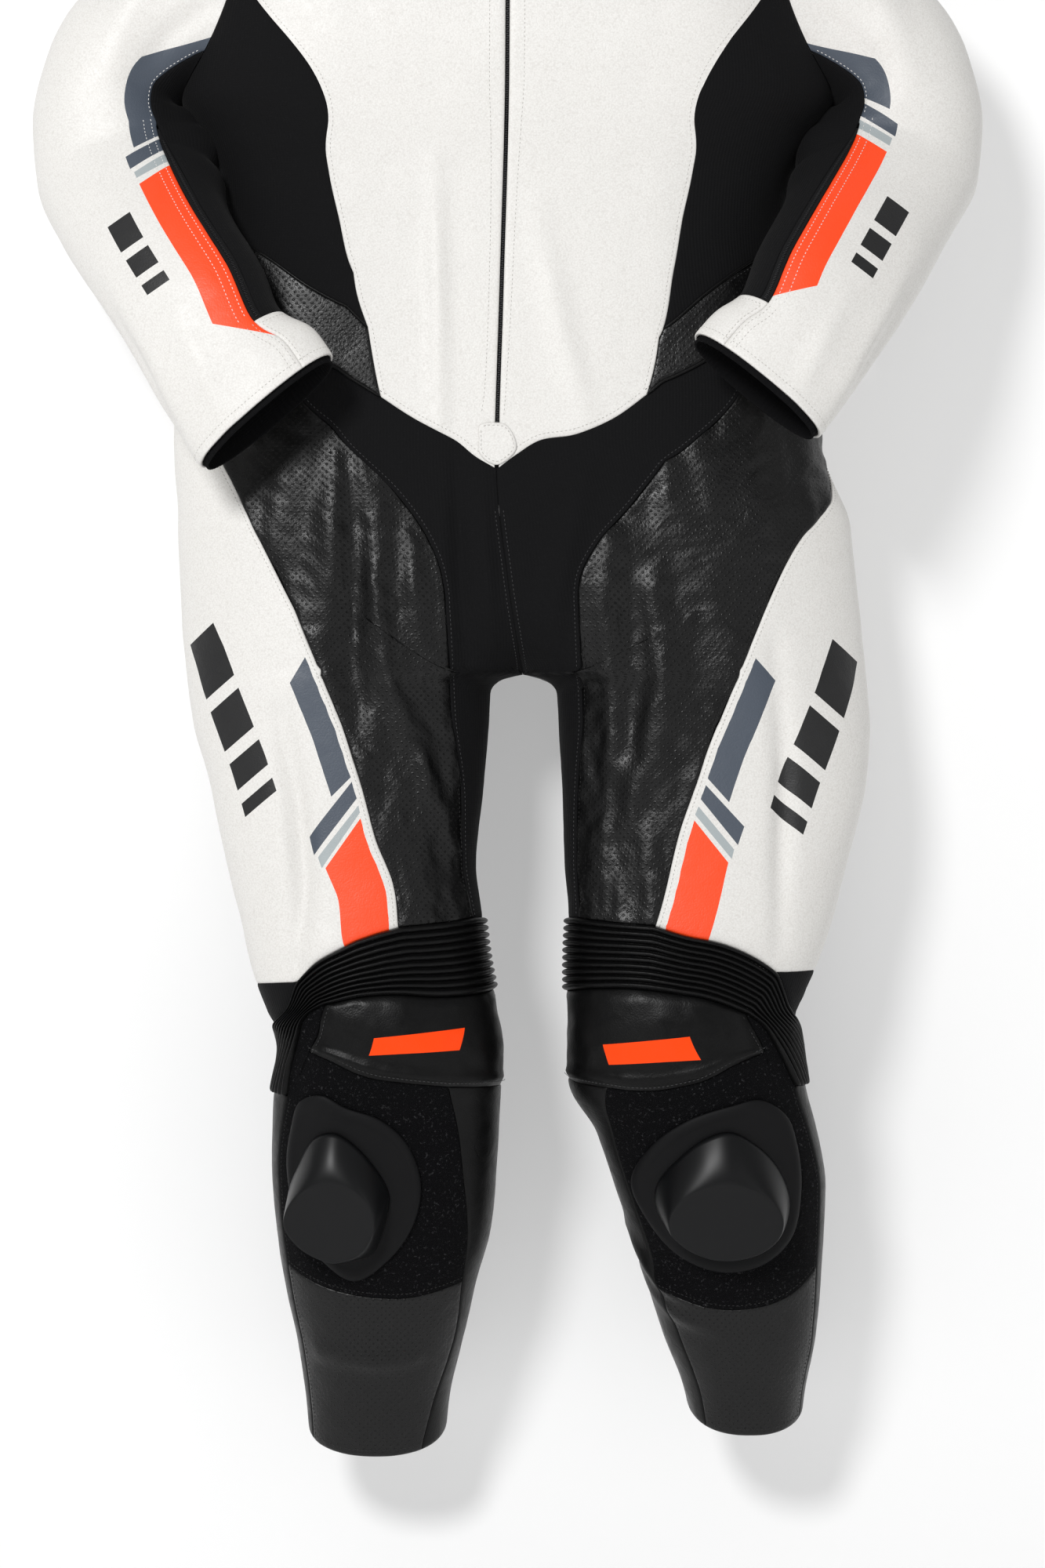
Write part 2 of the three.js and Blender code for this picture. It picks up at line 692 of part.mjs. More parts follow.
// Places along the seams that differ from one side to the other, as seen from the front
const LINES = {
  r: {
    whiteEdge: [[-163, -226, 'x'], [-158, -287, 'x'], [-147, -340, 'x'], [-134, -393, 'x'], [-123, -430, 'x']],
    bandFront: [[-123, -430, 'x'], [-118, -460, 'x'], [-112, -489, 'x']],
    bandTop: [[-123, -430, 'x'], [-170, -397, 'x'], [-218, -363, 'x'], [0.5, -340], [0.66, -338]],
    vee: [[0, -550], [-31, -540, 'x'], [-47, -527, 'x'], [-66, -517, 'x'], [-86, -506, 'x'], [-112, -489, 'x']],
    bandBottom: [[-112, -489, 'x'], [-152, -463, 'x'], [-214, -423, 'x'], [0.5, -398], [0.66, -392]],
    thighInnerStart: -196,
    thighInner: [[-189, -477, 'x'], [-146, -524, 'x'], [-98, -572, 'x'], [-71, -611, 'x'], [-58, -652, 'x'],
      [-51, -730, 'x'], [-43, -844, 'x'], [-34, -929, 'x']],
    thighOuter: [[0.5, -440], [-270, -500, 'x'], [-245, -548, 'x'], [-211, -617, 'x'], [-179, -679, 'x'],
      [-151, -752, 'x'], [-132, -803, 'x'], [-116, -860, 'x'], [-101, -898, 'x'], [-96, -936, 'x']],
    ribsTopOuter: [[-96, -936, 'x'], [-120, -943, 'x'], [-145, -954, 'x'], [-166, -966, 'x'], [-181, -982, 'x']],
    whiteBottom: [[-181, -982, 'x'], [0.5, -986], [0.6, -986]],
    ribsSide: [[-181, -982, 'x'], [-188, -1004, 'x'], [0.47, -1022], [0.52, -1046], [0.55, -1076]],
    ribsEnd: [[0.55, -1076], [-190, -1078, 'x']],
    capTop: [[0, -990], [-60, -994, 'x'], [-110, -992, 'x'], [-157, -1000, 'x']],
    ribsInside: [[-157, -1000, 'x'], [-171, -1008, 'x'], [-179, -1026, 'x'], [-186, -1050, 'x'], [-190, -1078, 'x']],
    capEnd: [[-157, -1000, 'x'], [-162, -1018, 'x'], [-172, -1040, 'x']],
    capBottom: [[-172, -1040, 'x'], [-152, -1048, 'x'], [-128, -1059, 'x'], [-100, -1065, 'x'], [-54, -1070, 'x']],
    capInside: [[-54, -1070, 'x'], [0, -1072]],
    loopInside: [[-54, -1070, 'x'], [-46, -1110, 'x'], [-42, -1150, 'x'], [-43, -1240, 'x']],
    shinInside: [[-43, -1240, 'x'], [-50, -1290, 'x'], [0.14, 'hem']],
    legSide: [[-190, -1078, 'x'], [0.43, -1130], [0.43, -1226]],
    shinSide: [[0.43, -1226], [0.43, -1300], [0.43, 'hem']],
    loopBottom: [[0.43, -1226], [-150, -1246, 'x'], [-95, -1252, 'x'], [-43, -1240, 'x']],
  },
  l: {
    whiteEdge: [[160, -226, 'x'], [154, -287, 'x'], [143, -340, 'x'], [134, -393, 'x'], [127, -431, 'x']],
    bandFront: [[127, -431, 'x'], [120, -460, 'x'], [113, -487, 'x']],
    bandTop: [[127, -431, 'x'], [163, -401, 'x'], [205, -370, 'x'], [0.5, -342], [0.66, -338]],
    vee: [[0, -550], [2, -538, 'x'], [22, -526, 'x'], [52, -521, 'x'], [85, -507, 'x'], [113, -487, 'x']],
    bandBottom: [[113, -487, 'x'], [157, -461, 'x'], [205, -428, 'x'], [0.5, -398], [0.66, -392]],
    thighInnerStart: 205,
    thighInner: [[192, -485, 'x'], [142, -535, 'x'], [104, -575, 'x'], [68, -618, 'x'], [55, -650, 'x'],
      [53, -727, 'x'], [54, -829, 'x'], [55, -929, 'x']],
    thighOuter: [[0.5, -450], [274, -530, 'x'], [244, -609, 'x'], [201, -692, 'x'], [185, -727, 'x'],
      [167, -778, 'x'], [152, -821, 'x'], [141, -852, 'x'], [130, -896, 'x'], [119, -935, 'x']],
    ribsTopOuter: [[119, -935, 'x'], [145, -943, 'x'], [177, -950, 'x'], [204, -962, 'x'], [221, -974, 'x']],
    whiteBottom: [[221, -974, 'x'], [0.5, -975], [0.6, -980]],
    ribsSide: [[221, -974, 'x'], [229, -998, 'x'], [0.47, -1018], [0.52, -1044], [0.55, -1072]],
    ribsEnd: [[0.55, -1072], [237, -1070, 'x']],
    capTop: [[0, -992], [99, -987, 'x'], [150, -993, 'x'], [195, -1008, 'x']],
    ribsInside: [[195, -1008, 'x'], [208, -1018, 'x'], [219, -1034, 'x'], [228, -1051, 'x'], [237, -1070, 'x']],
    capEnd: [[195, -1008, 'x'], [203, -1024, 'x'], [212, -1040, 'x']],
    capBottom: [[212, -1040, 'x'], [185, -1051, 'x'], [151, -1067, 'x'], [115, -1073, 'x'], [79, -1071, 'x']],
    capInside: [[79, -1071, 'x'], [0, -1066]],
    loopInside: [[79, -1071, 'x'], [86, -1119, 'x'], [108, -1188, 'x'], [126, -1244, 'x']],
    shinInside: [[126, -1244, 'x'], [148, -1305, 'x'], [0.12, 'hem']],
    legSide: [[237, -1070, 'x'], [0.43, -1130], [0.43, -1228]],
    shinSide: [[0.43, -1228], [0.43, -1300], [0.43, 'hem']],
    loopBottom: [[0.43, -1228], [232, -1252, 'x'], [180, -1262, 'x'], [126, -1244, 'x']],
  },
};

// Seams and stretches of them that are alike on both sides
const SHARED = {
  neckFront: [[0, NECK_FRONT], [0.085, -28], [0.2, -8], [0.31, 5], [0.5, NECK_SIDE]],
  neckBack: [[0.5, NECK_SIDE], [0.62, 15], [0.8, 19], [1, NECK_BACK]],
  backEdge: [[0.64, -220], [0.66, -290], [0.66, -338]],
  bandBack: [[0.66, -338], [0.66, -392]],
  waistBack: [[0.66, -392], [0.78, -400], [0.9, -410], [1, WAIST_BACK]],
  thighBack: [[0.66, -392], [0.66, -500], [0.645, -650], [0.63, -800], [0.61, -930]],
  kneeBackTop: [[0.72, -984], [0.87, -958], [1, KNEE_TOP]],
  kneeBackLow: [[0.78, -1088]],
};

// Where the white outer thigh starts on the hip band's lower edge
const WHITE_THIGH_START = 0.53;

// The hem as seen from the front dips at its middle
const hemHeight = (side, u) => HEM[side].middle - HEM[side].drop * Math.sin(2 * Math.PI * u);
for (const side of ['r', 'l']) {
  for (const line of Object.values(LINES[side])) {
    for (const place of Array.isArray(line) ? line : []) {
      if (place[1] === 'hem') {
        place[1] = hemHeight(side, place[0]);
      }
    }
  }
}

// Armhole stretches, in shares of a turn from the shoulder by the front to the armpit
const ARM = { shoulder: 0, front: 0.22, innerSeam: 0.36, backSeam: 0.7, back: 0.78, end: 1 };

function armhole(side, from, to, count) {
  const nodes = [];
  for (let i = 0; i <= count; i += 1) {
    const w = from + ((to - from) * i) / count;
    const { u, z } = armholeAt(w);
    const node = bodyNode(side, u, z);
    node.normal.add(sleeveNormal(side, w, 0)).normalize();
    node.w = w;
    nodes.push(node);
  }
  return nodes;
}

const model = new THREE.Group();

// The torso and legs of one side, from its seams
function bodySeams(side) {
  const lines = LINES[side];
  const s = {};
  s.centreFront = seam('r', [[0, NECK_FRONT], [0, VEE]], 13);
  s.centreSeat = seam('r', [[0, VEE], [0, CROTCH]], 5);
  s.neckFront = seam(side, SHARED.neckFront, 4);
  s.neckBack = seam(side, SHARED.neckBack, 4);
  s.shoulder = seam(side, [[0.5, NECK_SIDE], [0.5, SHOULDER]], 3);
  s.armFront = armhole(side, ARM.shoulder, ARM.front, 3);
  s.armBack = armhole(side, ARM.back, ARM.end, 3);
  s.armLow = [
    armhole(side, ARM.front, ARM.innerSeam, 3),
    armhole(side, ARM.innerSeam, ARM.backSeam, 8),
    armhole(side, ARM.backSeam, ARM.back, 2),
  ];
  const frontCorner = s.armFront[3];
  const backCorner = s.armBack[0];
  s.whiteEdge = between(frontCorner, seam(side, [[frontCorner.a, frontCorner.b], ...lines.whiteEdge], 8));
  s.bandFront = between(last(s.whiteEdge), seam(side, lines.bandFront, 2));
  s.bandTop = between(s.bandFront[0], seam(side, lines.bandTop, 13));
  const backEdge = seam(side, [[backCorner.a, backCorner.b], ...SHARED.backEdge], 8);
  s.backEdge = between(backCorner, backEdge, last(s.bandTop));
  s.vee = between(last(s.centreFront), seam(side, lines.vee, 7), last(s.bandFront));
  const start = frontAt(lines.thighInnerStart, -430, side).u;
  const starts = [start, WHITE_THIGH_START];
  [s.bandLowA, s.bandLowB, s.bandLowC] = stretches(side, lines.bandBottom, starts, [3, 5, 5]);
  s.bandLowA = between(last(s.bandFront), s.bandLowA);
  s.bandBack = between(last(s.bandTop), seam(side, SHARED.bandBack, 2), last(s.bandLowC));
  s.waistBack = between(last(s.bandLowC), seam(side, SHARED.waistBack, 7), bodyNode('r', 1, WAIST_BACK));
  const capZ = lines.capTop[0][1];
  const capLow = lines.capInside[1][1];
  s.inseam = between(last(s.centreSeat), seam(side, [[0, CROTCH], [0, KNEE_TOP]], 8));
  s.inseamRibs = between(last(s.inseam), seam(side, [[0, KNEE_TOP], [0, capZ]], 2));
  s.inseamCap = between(last(s.inseamRibs), seam(side, [[0, capZ], [0, capLow]], 3));
  const inner = s.bandLowB[0];
  s.thighInner = between(inner, seam(side, [[inner.a, inner.b], ...lines.thighInner], 13, 0.65));
  const outer = s.bandLowC[0];
  s.thighOuter = between(outer, seam(side, [[outer.a, outer.b], ...lines.thighOuter], 13));
  const whiteEnd = lines.whiteBottom[2];
  s.thighBack = between(last(s.bandLowC), seam(side, [...SHARED.thighBack, whiteEnd], 13));
  s.ribsTopA = [last(s.inseam), last(s.thighInner)];
  const ribsTopB = seam(side, [lines.thighInner.at(-1), lines.thighOuter.at(-1)], 5);
  s.ribsTopB = between(last(s.thighInner), ribsTopB, last(s.thighOuter));
  s.ribsTopC = between(last(s.thighOuter), seam(side, lines.ribsTopOuter, 4));
  s.whiteBottom = between(last(s.ribsTopC), seam(side, lines.whiteBottom, 1), last(s.thighBack));
  const kneeBackTop = seam(side, [whiteEnd, ...SHARED.kneeBackTop], 7);
  s.kneeBackTop = between(last(s.thighBack), kneeBackTop, last(s.inseam));
  s.ribsSide = between(last(s.ribsTopC), seam(side, lines.ribsSide, 5));
  s.ribsEnd = between(last(s.ribsSide), seam(side, lines.ribsEnd, 5));
  s.capTop = between(last(s.inseamRibs), seam(side, lines.capTop, 10));
  s.ribsInside = between(last(s.capTop), seam(side, lines.ribsInside, 5), last(s.ribsEnd));
  s.capEnd = between(last(s.capTop), seam(side, lines.capEnd, 3));
  s.capBottom = between(last(s.capEnd), seam(side, lines.capBottom, 7));
  s.capInside = between(last(s.capBottom), seam(side, lines.capInside, 3), last(s.inseamCap));
  const kneeBackLow = seam(side, [lines.ribsSide.at(-1), ...SHARED.kneeBackLow, [1, capLow]], 8);
  s.kneeBackLow = between(last(s.ribsSide), kneeBackLow, last(s.inseamCap));
  s.legSide = between(last(s.ribsInside), seam(side, lines.legSide, 4));
  s.loopInside = between(last(s.capBottom), seam(side, lines.loopInside, 9));
  s.loopBottom = between(last(s.legSide), seam(side, lines.loopBottom, 10), last(s.loopInside));
  s.shinSide = between(last(s.legSide), seam(side, lines.shinSide, 4));
  s.shinInside = between(last(s.loopInside), seam(side, lines.shinInside, 4));
  const hemFrom = lines.shinSide[2][0];
  const hemTo = lines.shinInside[2][0];
  const hem = (from, to, count) => {
    const nodes = [];
    for (let i = 0; i <= count; i += 1) {
      const u = from + ((to - from) * i) / count;
      nodes.push(bodyNode(side, u, hemHeight(side, u)));
    }
    return nodes;
  };
  s.hemFront = between(last(s.shinSide), hem(hemFrom, hemTo, 10), last(s.shinInside));
  s.hemBack = between(last(s.shinSide), hem(hemFrom, 1 + hemTo, 11), last(s.shinInside));
  return s;
}

const seams = { r: bodySeams('r'), l: bodySeams('l') };
const toBack = (nodes) => shifted(nodes, (u) => (u < 0.5 ? u + 1 : u));

function torsoPieces(side) {
  const s = seams[side];
  const place = (u, z) => bodyNode(side, u, z);
  model.add(
    panel(`front_panel_${side}`, {
      top: join(s.neckFront, s.shoulder),
      bottom: s.vee,
      left: s.centreFront,
      right: join(s.armFront, s.whiteEdge, s.bandFront),
    }, place, LEATHER, WHITE_LEATHER, { passes: 0, gaps: { left: ZIP_GAP } }),
    panel(`side_panel_${side}`, {
      top: join(...s.armLow),
      bottom: s.bandTop,
      left: s.whiteEdge,
      right: s.backEdge,
    }, place, STRETCH, BLACK_STRETCH, { gaps: ARM_GAP }),
    panel(`hip_band_${side}`, {
      top: s.bandTop,
      bottom: join(s.bandLowA, s.bandLowB, s.bandLowC),
      left: s.bandFront,
      right: s.bandBack,
    }, place, LEATHER, PERFORATED),
    panel(`pelvis_${side}`, {
      top: join(s.vee, s.bandLowA),
      bottom: refined(s.ribsTopA, 10),
      left: join(s.centreSeat, s.inseam),
      right: s.thighInner,
    }, place, STRETCH, BLACK_STRETCH, { passes: 0 }),
    panel(`seat_${side}`, {
      top: s.waistBack,
      bottom: s.kneeBackTop,
      left: s.thighBack,
      right: join(seatCentre(s), toBack(s.inseam)),
    }, place, LEATHER, BLACK_LEATHER),
  );
}

// The seat's centre seam, which both halves share
function seatCentre(s) {
  const rows = 5;
  const nodes = [];
  for (let i = 0; i <= rows; i += 1) {
    nodes.push(bodyNode('r', 1, WAIST_BACK + ((CROTCH - WAIST_BACK) * i) / rows));
  }
  return between(null, nodes, last(s.centreSeat));
}

function backPiece() {
  const { r, l } = seams;
  const over = (nodes) => shifted(nodes, (u) => 2 - u);
  model.add(
    panel('back_panel', {
      top: join(reversed(r.shoulder), r.neckBack, reversed(over(l.neckBack)), over(l.shoulder)),
      bottom: join(r.waistBack, reversed(over(l.waistBack))),
      left: join(reversed(r.armBack), r.backEdge, r.bandBack),
      right: over(join(reversed(l.armBack), l.backEdge, l.bandBack)),
    }, (u, z) => bodyNode('r', u, z), LEATHER, WHITE_LEATHER),
  );
}

function legPieces(side) {
  const s = seams[side];
  const place = (u, z) => bodyNode(side, u, z);
  const ribRows = 2 * RIBS;
  const raised = (across, along) => (Math.round(along * ribRows) % 2 ? RIB_HEIGHT : 0);
  model.add(
    panel(`thigh_front_${side}`, {
      top: s.bandLowB,
      bottom: s.ribsTopB,
      left: s.thighInner,
      right: s.thighOuter,
    }, place, LEATHER, PERFORATED),
    panel(`thigh_outer_${side}`, {
      top: s.bandLowC,
      bottom: join(s.ribsTopC, s.whiteBottom),
      left: s.thighOuter,
      right: s.thighBack,
    }, place, LEATHER, WHITE_LEATHER),
    panel(`knee_ribs_${side}`, {
      top: join(s.ribsTopA, s.ribsTopB, s.ribsTopC, s.ribsSide),
      bottom: join(s.capTop, s.ribsInside),
      left: refined(s.inseamRibs, ribRows),
      right: refined(s.ribsEnd, ribRows),
    }, place, LEATHER, BLACK_LEATHER, { passes: 0, relief: { height: raised, step: 5 } }),
    panel(`knee_cap_${side}`, {
      top: s.capTop,
      bottom: reversed(join(s.capBottom, s.capInside)),
      left: s.inseamCap,
      right: s.capEnd,
    }, place, LEATHER, BLACK_LEATHER),
    panel(`knee_loop_${side}`, {
      top: join(s.capEnd, s.capBottom),
      bottom: s.loopBottom,
      left: join(s.ribsInside, s.legSide),
      right: s.loopInside,
    }, place, STRETCH, LOOP_CLOTH),
    panel(`knee_back_${side}`, {
      top: join(s.whiteBottom, s.kneeBackTop),
      bottom: s.kneeBackLow,
      left: s.ribsSide,
      right: toBack(join(s.inseamRibs, s.inseamCap)),
    }, place, STRETCH, BLACK_STRETCH),
    panel(`shin_${side}`, {
      top: s.loopBottom,
      bottom: s.hemFront,
      left: s.shinSide,
      right: s.shinInside,
    }, place, LEATHER, BLACK_LEATHER),
    panel(`calf_${side}`, {
      top: join(s.kneeBackLow, toBack(reversed(s.capInside))),
      bottom: s.hemBack,
      left: join(s.ribsEnd, s.legSide, s.shinSide),
      right: toBack(join(s.loopInside, s.shinInside)),
    }, place, LEATHER, BLACK_LEATHER),
  );
}

// Sleeve seams run along the sleeve at a share of a turn, given at several rings
const SEAM_TURN = table('ring inner zipInner zipOuter back', [
  [0, 0.36, 0.36, 0.36, 0.7],
  [4, 0.36, 0.36, 0.36, 0.69],
  [5, 0.362, 0.364, 0.36, 0.68],
  [6.5, 0.365, 0.377, 0.352, 0.68],
  [10, 0.365, 0.38, 0.35, 0.68],
  [12, 0.365, 0.38, 0.35, 0.68],
]);
const ZIP_START = 5;
const TAB_START = 9.1;

function sleevePieces(side) {
  const s = seams[side];
  const place = (w, t) => sleeveNode(side, w, t);
  const run = (key, from, to, count, lower = 0) => {
    const nodes = [];
    for (let i = 0; i <= count; i += 1) {
      const t = from + ((to - from) * i) / count;
      nodes.push(sleeveNode(side, follow(SEAM_TURN, key, t, 'ring') - lower, t));
    }
    return nodes;
  };
  const turn = (from, to, t, count) => {
    const nodes = [];
    for (let i = 0; i <= count; i += 1) {
      nodes.push(sleeveNode(side, from + ((to - from) * i) / count, t));
    }
    return nodes;
  };
  const onRing = (nodes, lower = 0) => nodes.map((node) => ({ ...node, a: node.w - lower, b: 0 }));
  const [frontLow, underArm, backLow] = s.armLow;
  const top = join(onRing(backLow, 1), onRing(s.armBack, 1), onRing(s.armFront), onRing(frontLow));
  const upper = between(last(onRing(frontLow)), run('inner', 0, ZIP_START, 5));
  const zipOuter = between(last(upper), run('zipOuter', ZIP_START, TAB_START, 5));
  const zipInner = between(last(upper), run('zipInner', ZIP_START, TAB_START, 5));
  const tabSide = between(last(zipOuter), run('zipOuter', TAB_START, CUFF, 3));
  const backUpper = between(onRing(underArm)[8], run('back', 0, TAB_START, 10));
  const backCuff = between(last(backUpper), run('back', TAB_START, CUFF, 3));
  const lowered = (nodes) => shifted(nodes, (w) => w - 1);
  const backW = last(backCuff).a;
  const cuffW = last(tabSide).a;
  const cuffOuter = between(last(backCuff), turn(backW - 1, cuffW, CUFF, 11), last(tabSide));
  const cuffInner = between(last(tabSide), turn(cuffW, backW, CUFF, 9), last(backCuff));
  const zipEnd = between(last(zipOuter), turn(last(zipOuter).a, last(zipInner).a, TAB_START, 1), last(zipInner));
  const tabTop = between(last(zipInner), turn(last(zipInner).a, last(backUpper).a, TAB_START, 8), last(backUpper));
  model.add(
    panel(`sleeve_outer_${side}`, {
      top,
      bottom: cuffOuter,
      left: lowered(join(backUpper, backCuff)),
      right: join(upper, zipOuter, tabSide),
    }, place, LEATHER, WHITE_LEATHER, { gaps: ARM_GAP }),
    panel(`sleeve_inner_${side}`, {
      top: onRing(underArm),
      bottom: tabTop,
      left: join(upper, zipInner),
      right: backUpper,
    }, place, STRETCH, BLACK_STRETCH, { gaps: ARM_GAP }),
    panel(`cuff_tab_${side}`, {
      top: join(zipEnd, tabTop),
      bottom: cuffInner,
      left: tabSide,
      right: backCuff,
    }, place, LEATHER, WHITE_LEATHER),
    zipStrip(side, zipOuter, zipInner),
    innerCuff(side),
  );
}

// The forearm zip lies between its two seams, a triangle at its upper end
const STRIP_DEPTH = 0.4;

function zipStrip(side, outerSeam, innerSeam) {
  const sheet = (depth) => [outerSeam, innerSeam].map((nodes, k) =>
    nodes.slice(1).map((node, j) => {
      const opposite = (k ? outerSeam : innerSeam)[j + 1];
      const inward = opposite.point.clone().sub(node.point).normalize();
      return node.point.clone().addScaledVector(inward, 2 * HALF_SEAM)
        .addScaledVector(node.normal, -depth);
    }),
  );
  return wallMesh(`zip_sleeve_${side}`, sheet(STRIP_DEPTH), sheet(STRIP_DEPTH + TAPE_THICK), ZIP_TAPE);
}

// A knitted cuff inside the sleeve's end, a little longer than the leather
function innerCuff(side) {
  const turns = 20;
  const stations = [10.2, 11.1, 12];
  const sheet = (depth) => {
    const columns = [];
    for (let i = 0; i < turns; i += 1) {
      columns.push(stations.map((t) => {
        const node = sleeveNode(side, i / turns, t);
        return node.point.addScaledVector(node.normal, -depth);
      }));
    }
    return columns;
  };
  const depth = LEATHER + CUFF_INSET;
  return wallMesh(`inner_cuff_${side}`, sheet(depth), sheet(depth + STRETCH), BLACK_STRETCH, true);
}

// The collar stands on the neck seam, leans in a little and is open at the front
const COLLAR = { x: -4, y: -8, bulge: 1.5, lean: 3 };

function collarPiece() {
  const { r, l } = seams;
  const neck = join(r.neckFront, r.neckBack, reversed(l.neckBack), reversed(l.neckFront));
  const foot = refined(neck, 2 * (neck.length - 1)).map((node) => node.point);
  const end = foot.length - 1;
  for (const [corner, next] of [[0, 1], [end, end - 1]]) {
    const way = foot[next].clone().sub(foot[corner]);
    foot[corner] = foot[corner].clone().addScaledVector(way, COLLAR_OPENING / way.length());
  }
  const columns = foot.map((point) => ({
    foot: point,
    outward: new THREE.Vector3(point.x - COLLAR.x, point.y - COLLAR.y, 0).normalize(),
  }));
  const sheet = (depth) => columns.map(({ foot, outward }) =>
    [0, 0.5, 1].map((t) =>
      foot.clone()
        .add(new THREE.Vector3(0, 0, 2 * HALF_SEAM + COLLAR_HEIGHT * t))
        .addScaledVector(outward, COLLAR.bulge * Math.sin(Math.PI * t) - COLLAR.lean * t - depth),
    ),
  );
  model.add(wallMesh('collar', sheet(0), sheet(LEATHER), BLACK_LEATHER));
}

// The main zip's tape behind the front edges
const ZIP_RISE = 29;
const ZIP_BEHIND = 1;
const TAPE_END_SHARE = 0.35;

function zipPiece() {
  const behind = LEATHER + ZIP_BEHIND;
  const sheet = (depth) => [-1, 0, 1].map((way) => {
    const points = seams.r.centreFront.map((node, j, all) => {
      const narrow = j === all.length - 1 ? TAPE_END_SHARE : 1;
      const point = node.point.clone().addScaledVector(node.normal, -behind - depth);
      point.x += way * TAPE_HALF * narrow;
      return point;
    });
    return [points[0].clone().setZ(points[0].z + ZIP_RISE), ...points];
  });
  model.add(wallMesh('zip_main', sheet(0), sheet(TAPE_THICK), ZIP_TAPE));
}

// A flat piece laid on the front: an outline seen from the front, filled from its middle
function laidPiece(name, outline, material, height, options = {}) {
  const spokes = options.spokes ?? 24;
  const rings = options.rings ?? [0.35, 0.7, 1];
  const base = options.base ?? LAID_GAP;
  const closed = new THREE.CatmullRomCurve3(
    outline.map(([x, z]) => new THREE.Vector3(x, z, 0)), true, 'centripetal',
  );
  const edge = closed.getSpacedPoints(spokes).slice(0, spokes);
  const middle = edge.reduce((sum, p) => sum.add(p), new THREE.Vector3()).divideScalar(spokes);
  const vertices = [];
  const spot = (x, z, share, lifted) => {
    const place = frontAt(x, z, options.side);
    const node = bodyNode(place.side, place.u, z);
    const rise = base + (lifted ? height(share) : 0);
    vertices.push(node.point.addScaledVector(node.normal, rise));
  };
  for (const lifted of [true, false]) {
    spot(middle.x, middle.y, 0, lifted);
    for (const share of rings) {
      for (const point of edge) {
        spot(middle.x + (point.x - middle.x) * share, middle.y + (point.y - middle.y) * share, share, lifted);
      }
    }
  }
  const layer = 1 + rings.length * spokes;
  const at = (k, ring, i) => k * layer + 1 + ring * spokes + (i % spokes);
  const triangles = [];
  for (const k of [0, 1]) {
    const face = (a, b, c) => triangles.push(k ? [a, c, b] : [a, b, c]);
    for (let i = 0; i < spokes; i += 1) {
      face(k * layer, at(k, 0, i), at(k, 0, i + 1));
      for (let ring = 0; ring < rings.length - 1; ring += 1) {
        face(at(k, ring, i), at(k, ring + 1, i), at(k, ring + 1, i + 1));
        face(at(k, ring, i), at(k, ring + 1, i + 1), at(k, ring, i + 1));
      }
    }
  }
  const rim = rings.length - 1;
  for (let i = 0; i < spokes; i += 1) {
    triangles.push([at(0, rim, i), at(1, rim, i), at(1, rim, i + 1)]);
    triangles.push([at(0, rim, i), at(1, rim, i + 1), at(0, rim, i + 1)]);
  }
  model.add(toMesh(name, vertices, triangles, material));
}

const TAB_THICK = 1.6;
const TAB_OUTLINE = [
  [-28, -513], [-17, -511], [-6, -513], [2, -526], [2, -535], [-14, -547], [-28, -538], [-29, -526],
];
const SLIDERS = {
  r: {
    plate: [[-178, -1082], [-160, -1076], [-140, -1086], [-112, -1096], [-90, -1116], [-78, -1150], [-84, -1186],
      [-104, -1216], [-134, -1236], [-160, -1220], [-180, -1190], [-190, -1140], [-186, -1106]],
    puck: [[-150, -1107], [-165, -1112], [-179, -1137], [-187, -1161], [-187, -1180], [-175, -1199], [-156, -1211],
      [-135, -1215], [-119, -1211], [-108, -1186], [-104, -1160], [-116, -1136], [-136, -1114]],
  },
  l: {
    plate: [[184, -1084], [206, -1080], [228, -1094], [238, -1120], [242, -1160], [234, -1200], [210, -1222],
      [176, -1228], [140, -1214], [112, -1180], [101, -1150], [116, -1120], [146, -1097]],
    puck: [[181, -1106], [160, -1112], [139, -1129], [124, -1148], [121, -1164], [128, -1182], [144, -1199],
      [162, -1208], [187, -1213], [211, -1206], [226, -1190], [231, -1170], [228, -1152], [218, -1133], [202, -1117]],
  },
};

function kneeSliders(side) {
  const { plate, puck } = SLIDERS[side];
  laidPiece(`slider_base_${side}`, plate, PUCK_PLASTIC, () => PLATE_THICK, {
    side,
    base: PLATE_LIFT,
    rings: [0.25, 0.5, 0.75, 1],
  });
  const dome = (share) => PUCK_EDGE + (PUCK_HEIGHT - PUCK_EDGE) * Math.sqrt(1 - share ** 3.4);
  laidPiece(`knee_slider_${side}`, puck, PUCK_PLASTIC, dome, {
    side,
    base: PLATE_LIFT + PLATE_THICK + LAID_GAP,
    rings: [0.3, 0.55, 0.78, 0.93, 1],
  });
}

// The zip's slider with its bridge, and the pull tab whose bar turns in it
const SLIDER = { above: 18, bridge: 4, height: 13, thick: 8, hole: 1.5, wall: 1.2, eye: 5, proud: 0.6 };
const PULL = { width: 8, length: 27, thick: 1.5, bar: 1.6, window: 5, play: 0.4 };

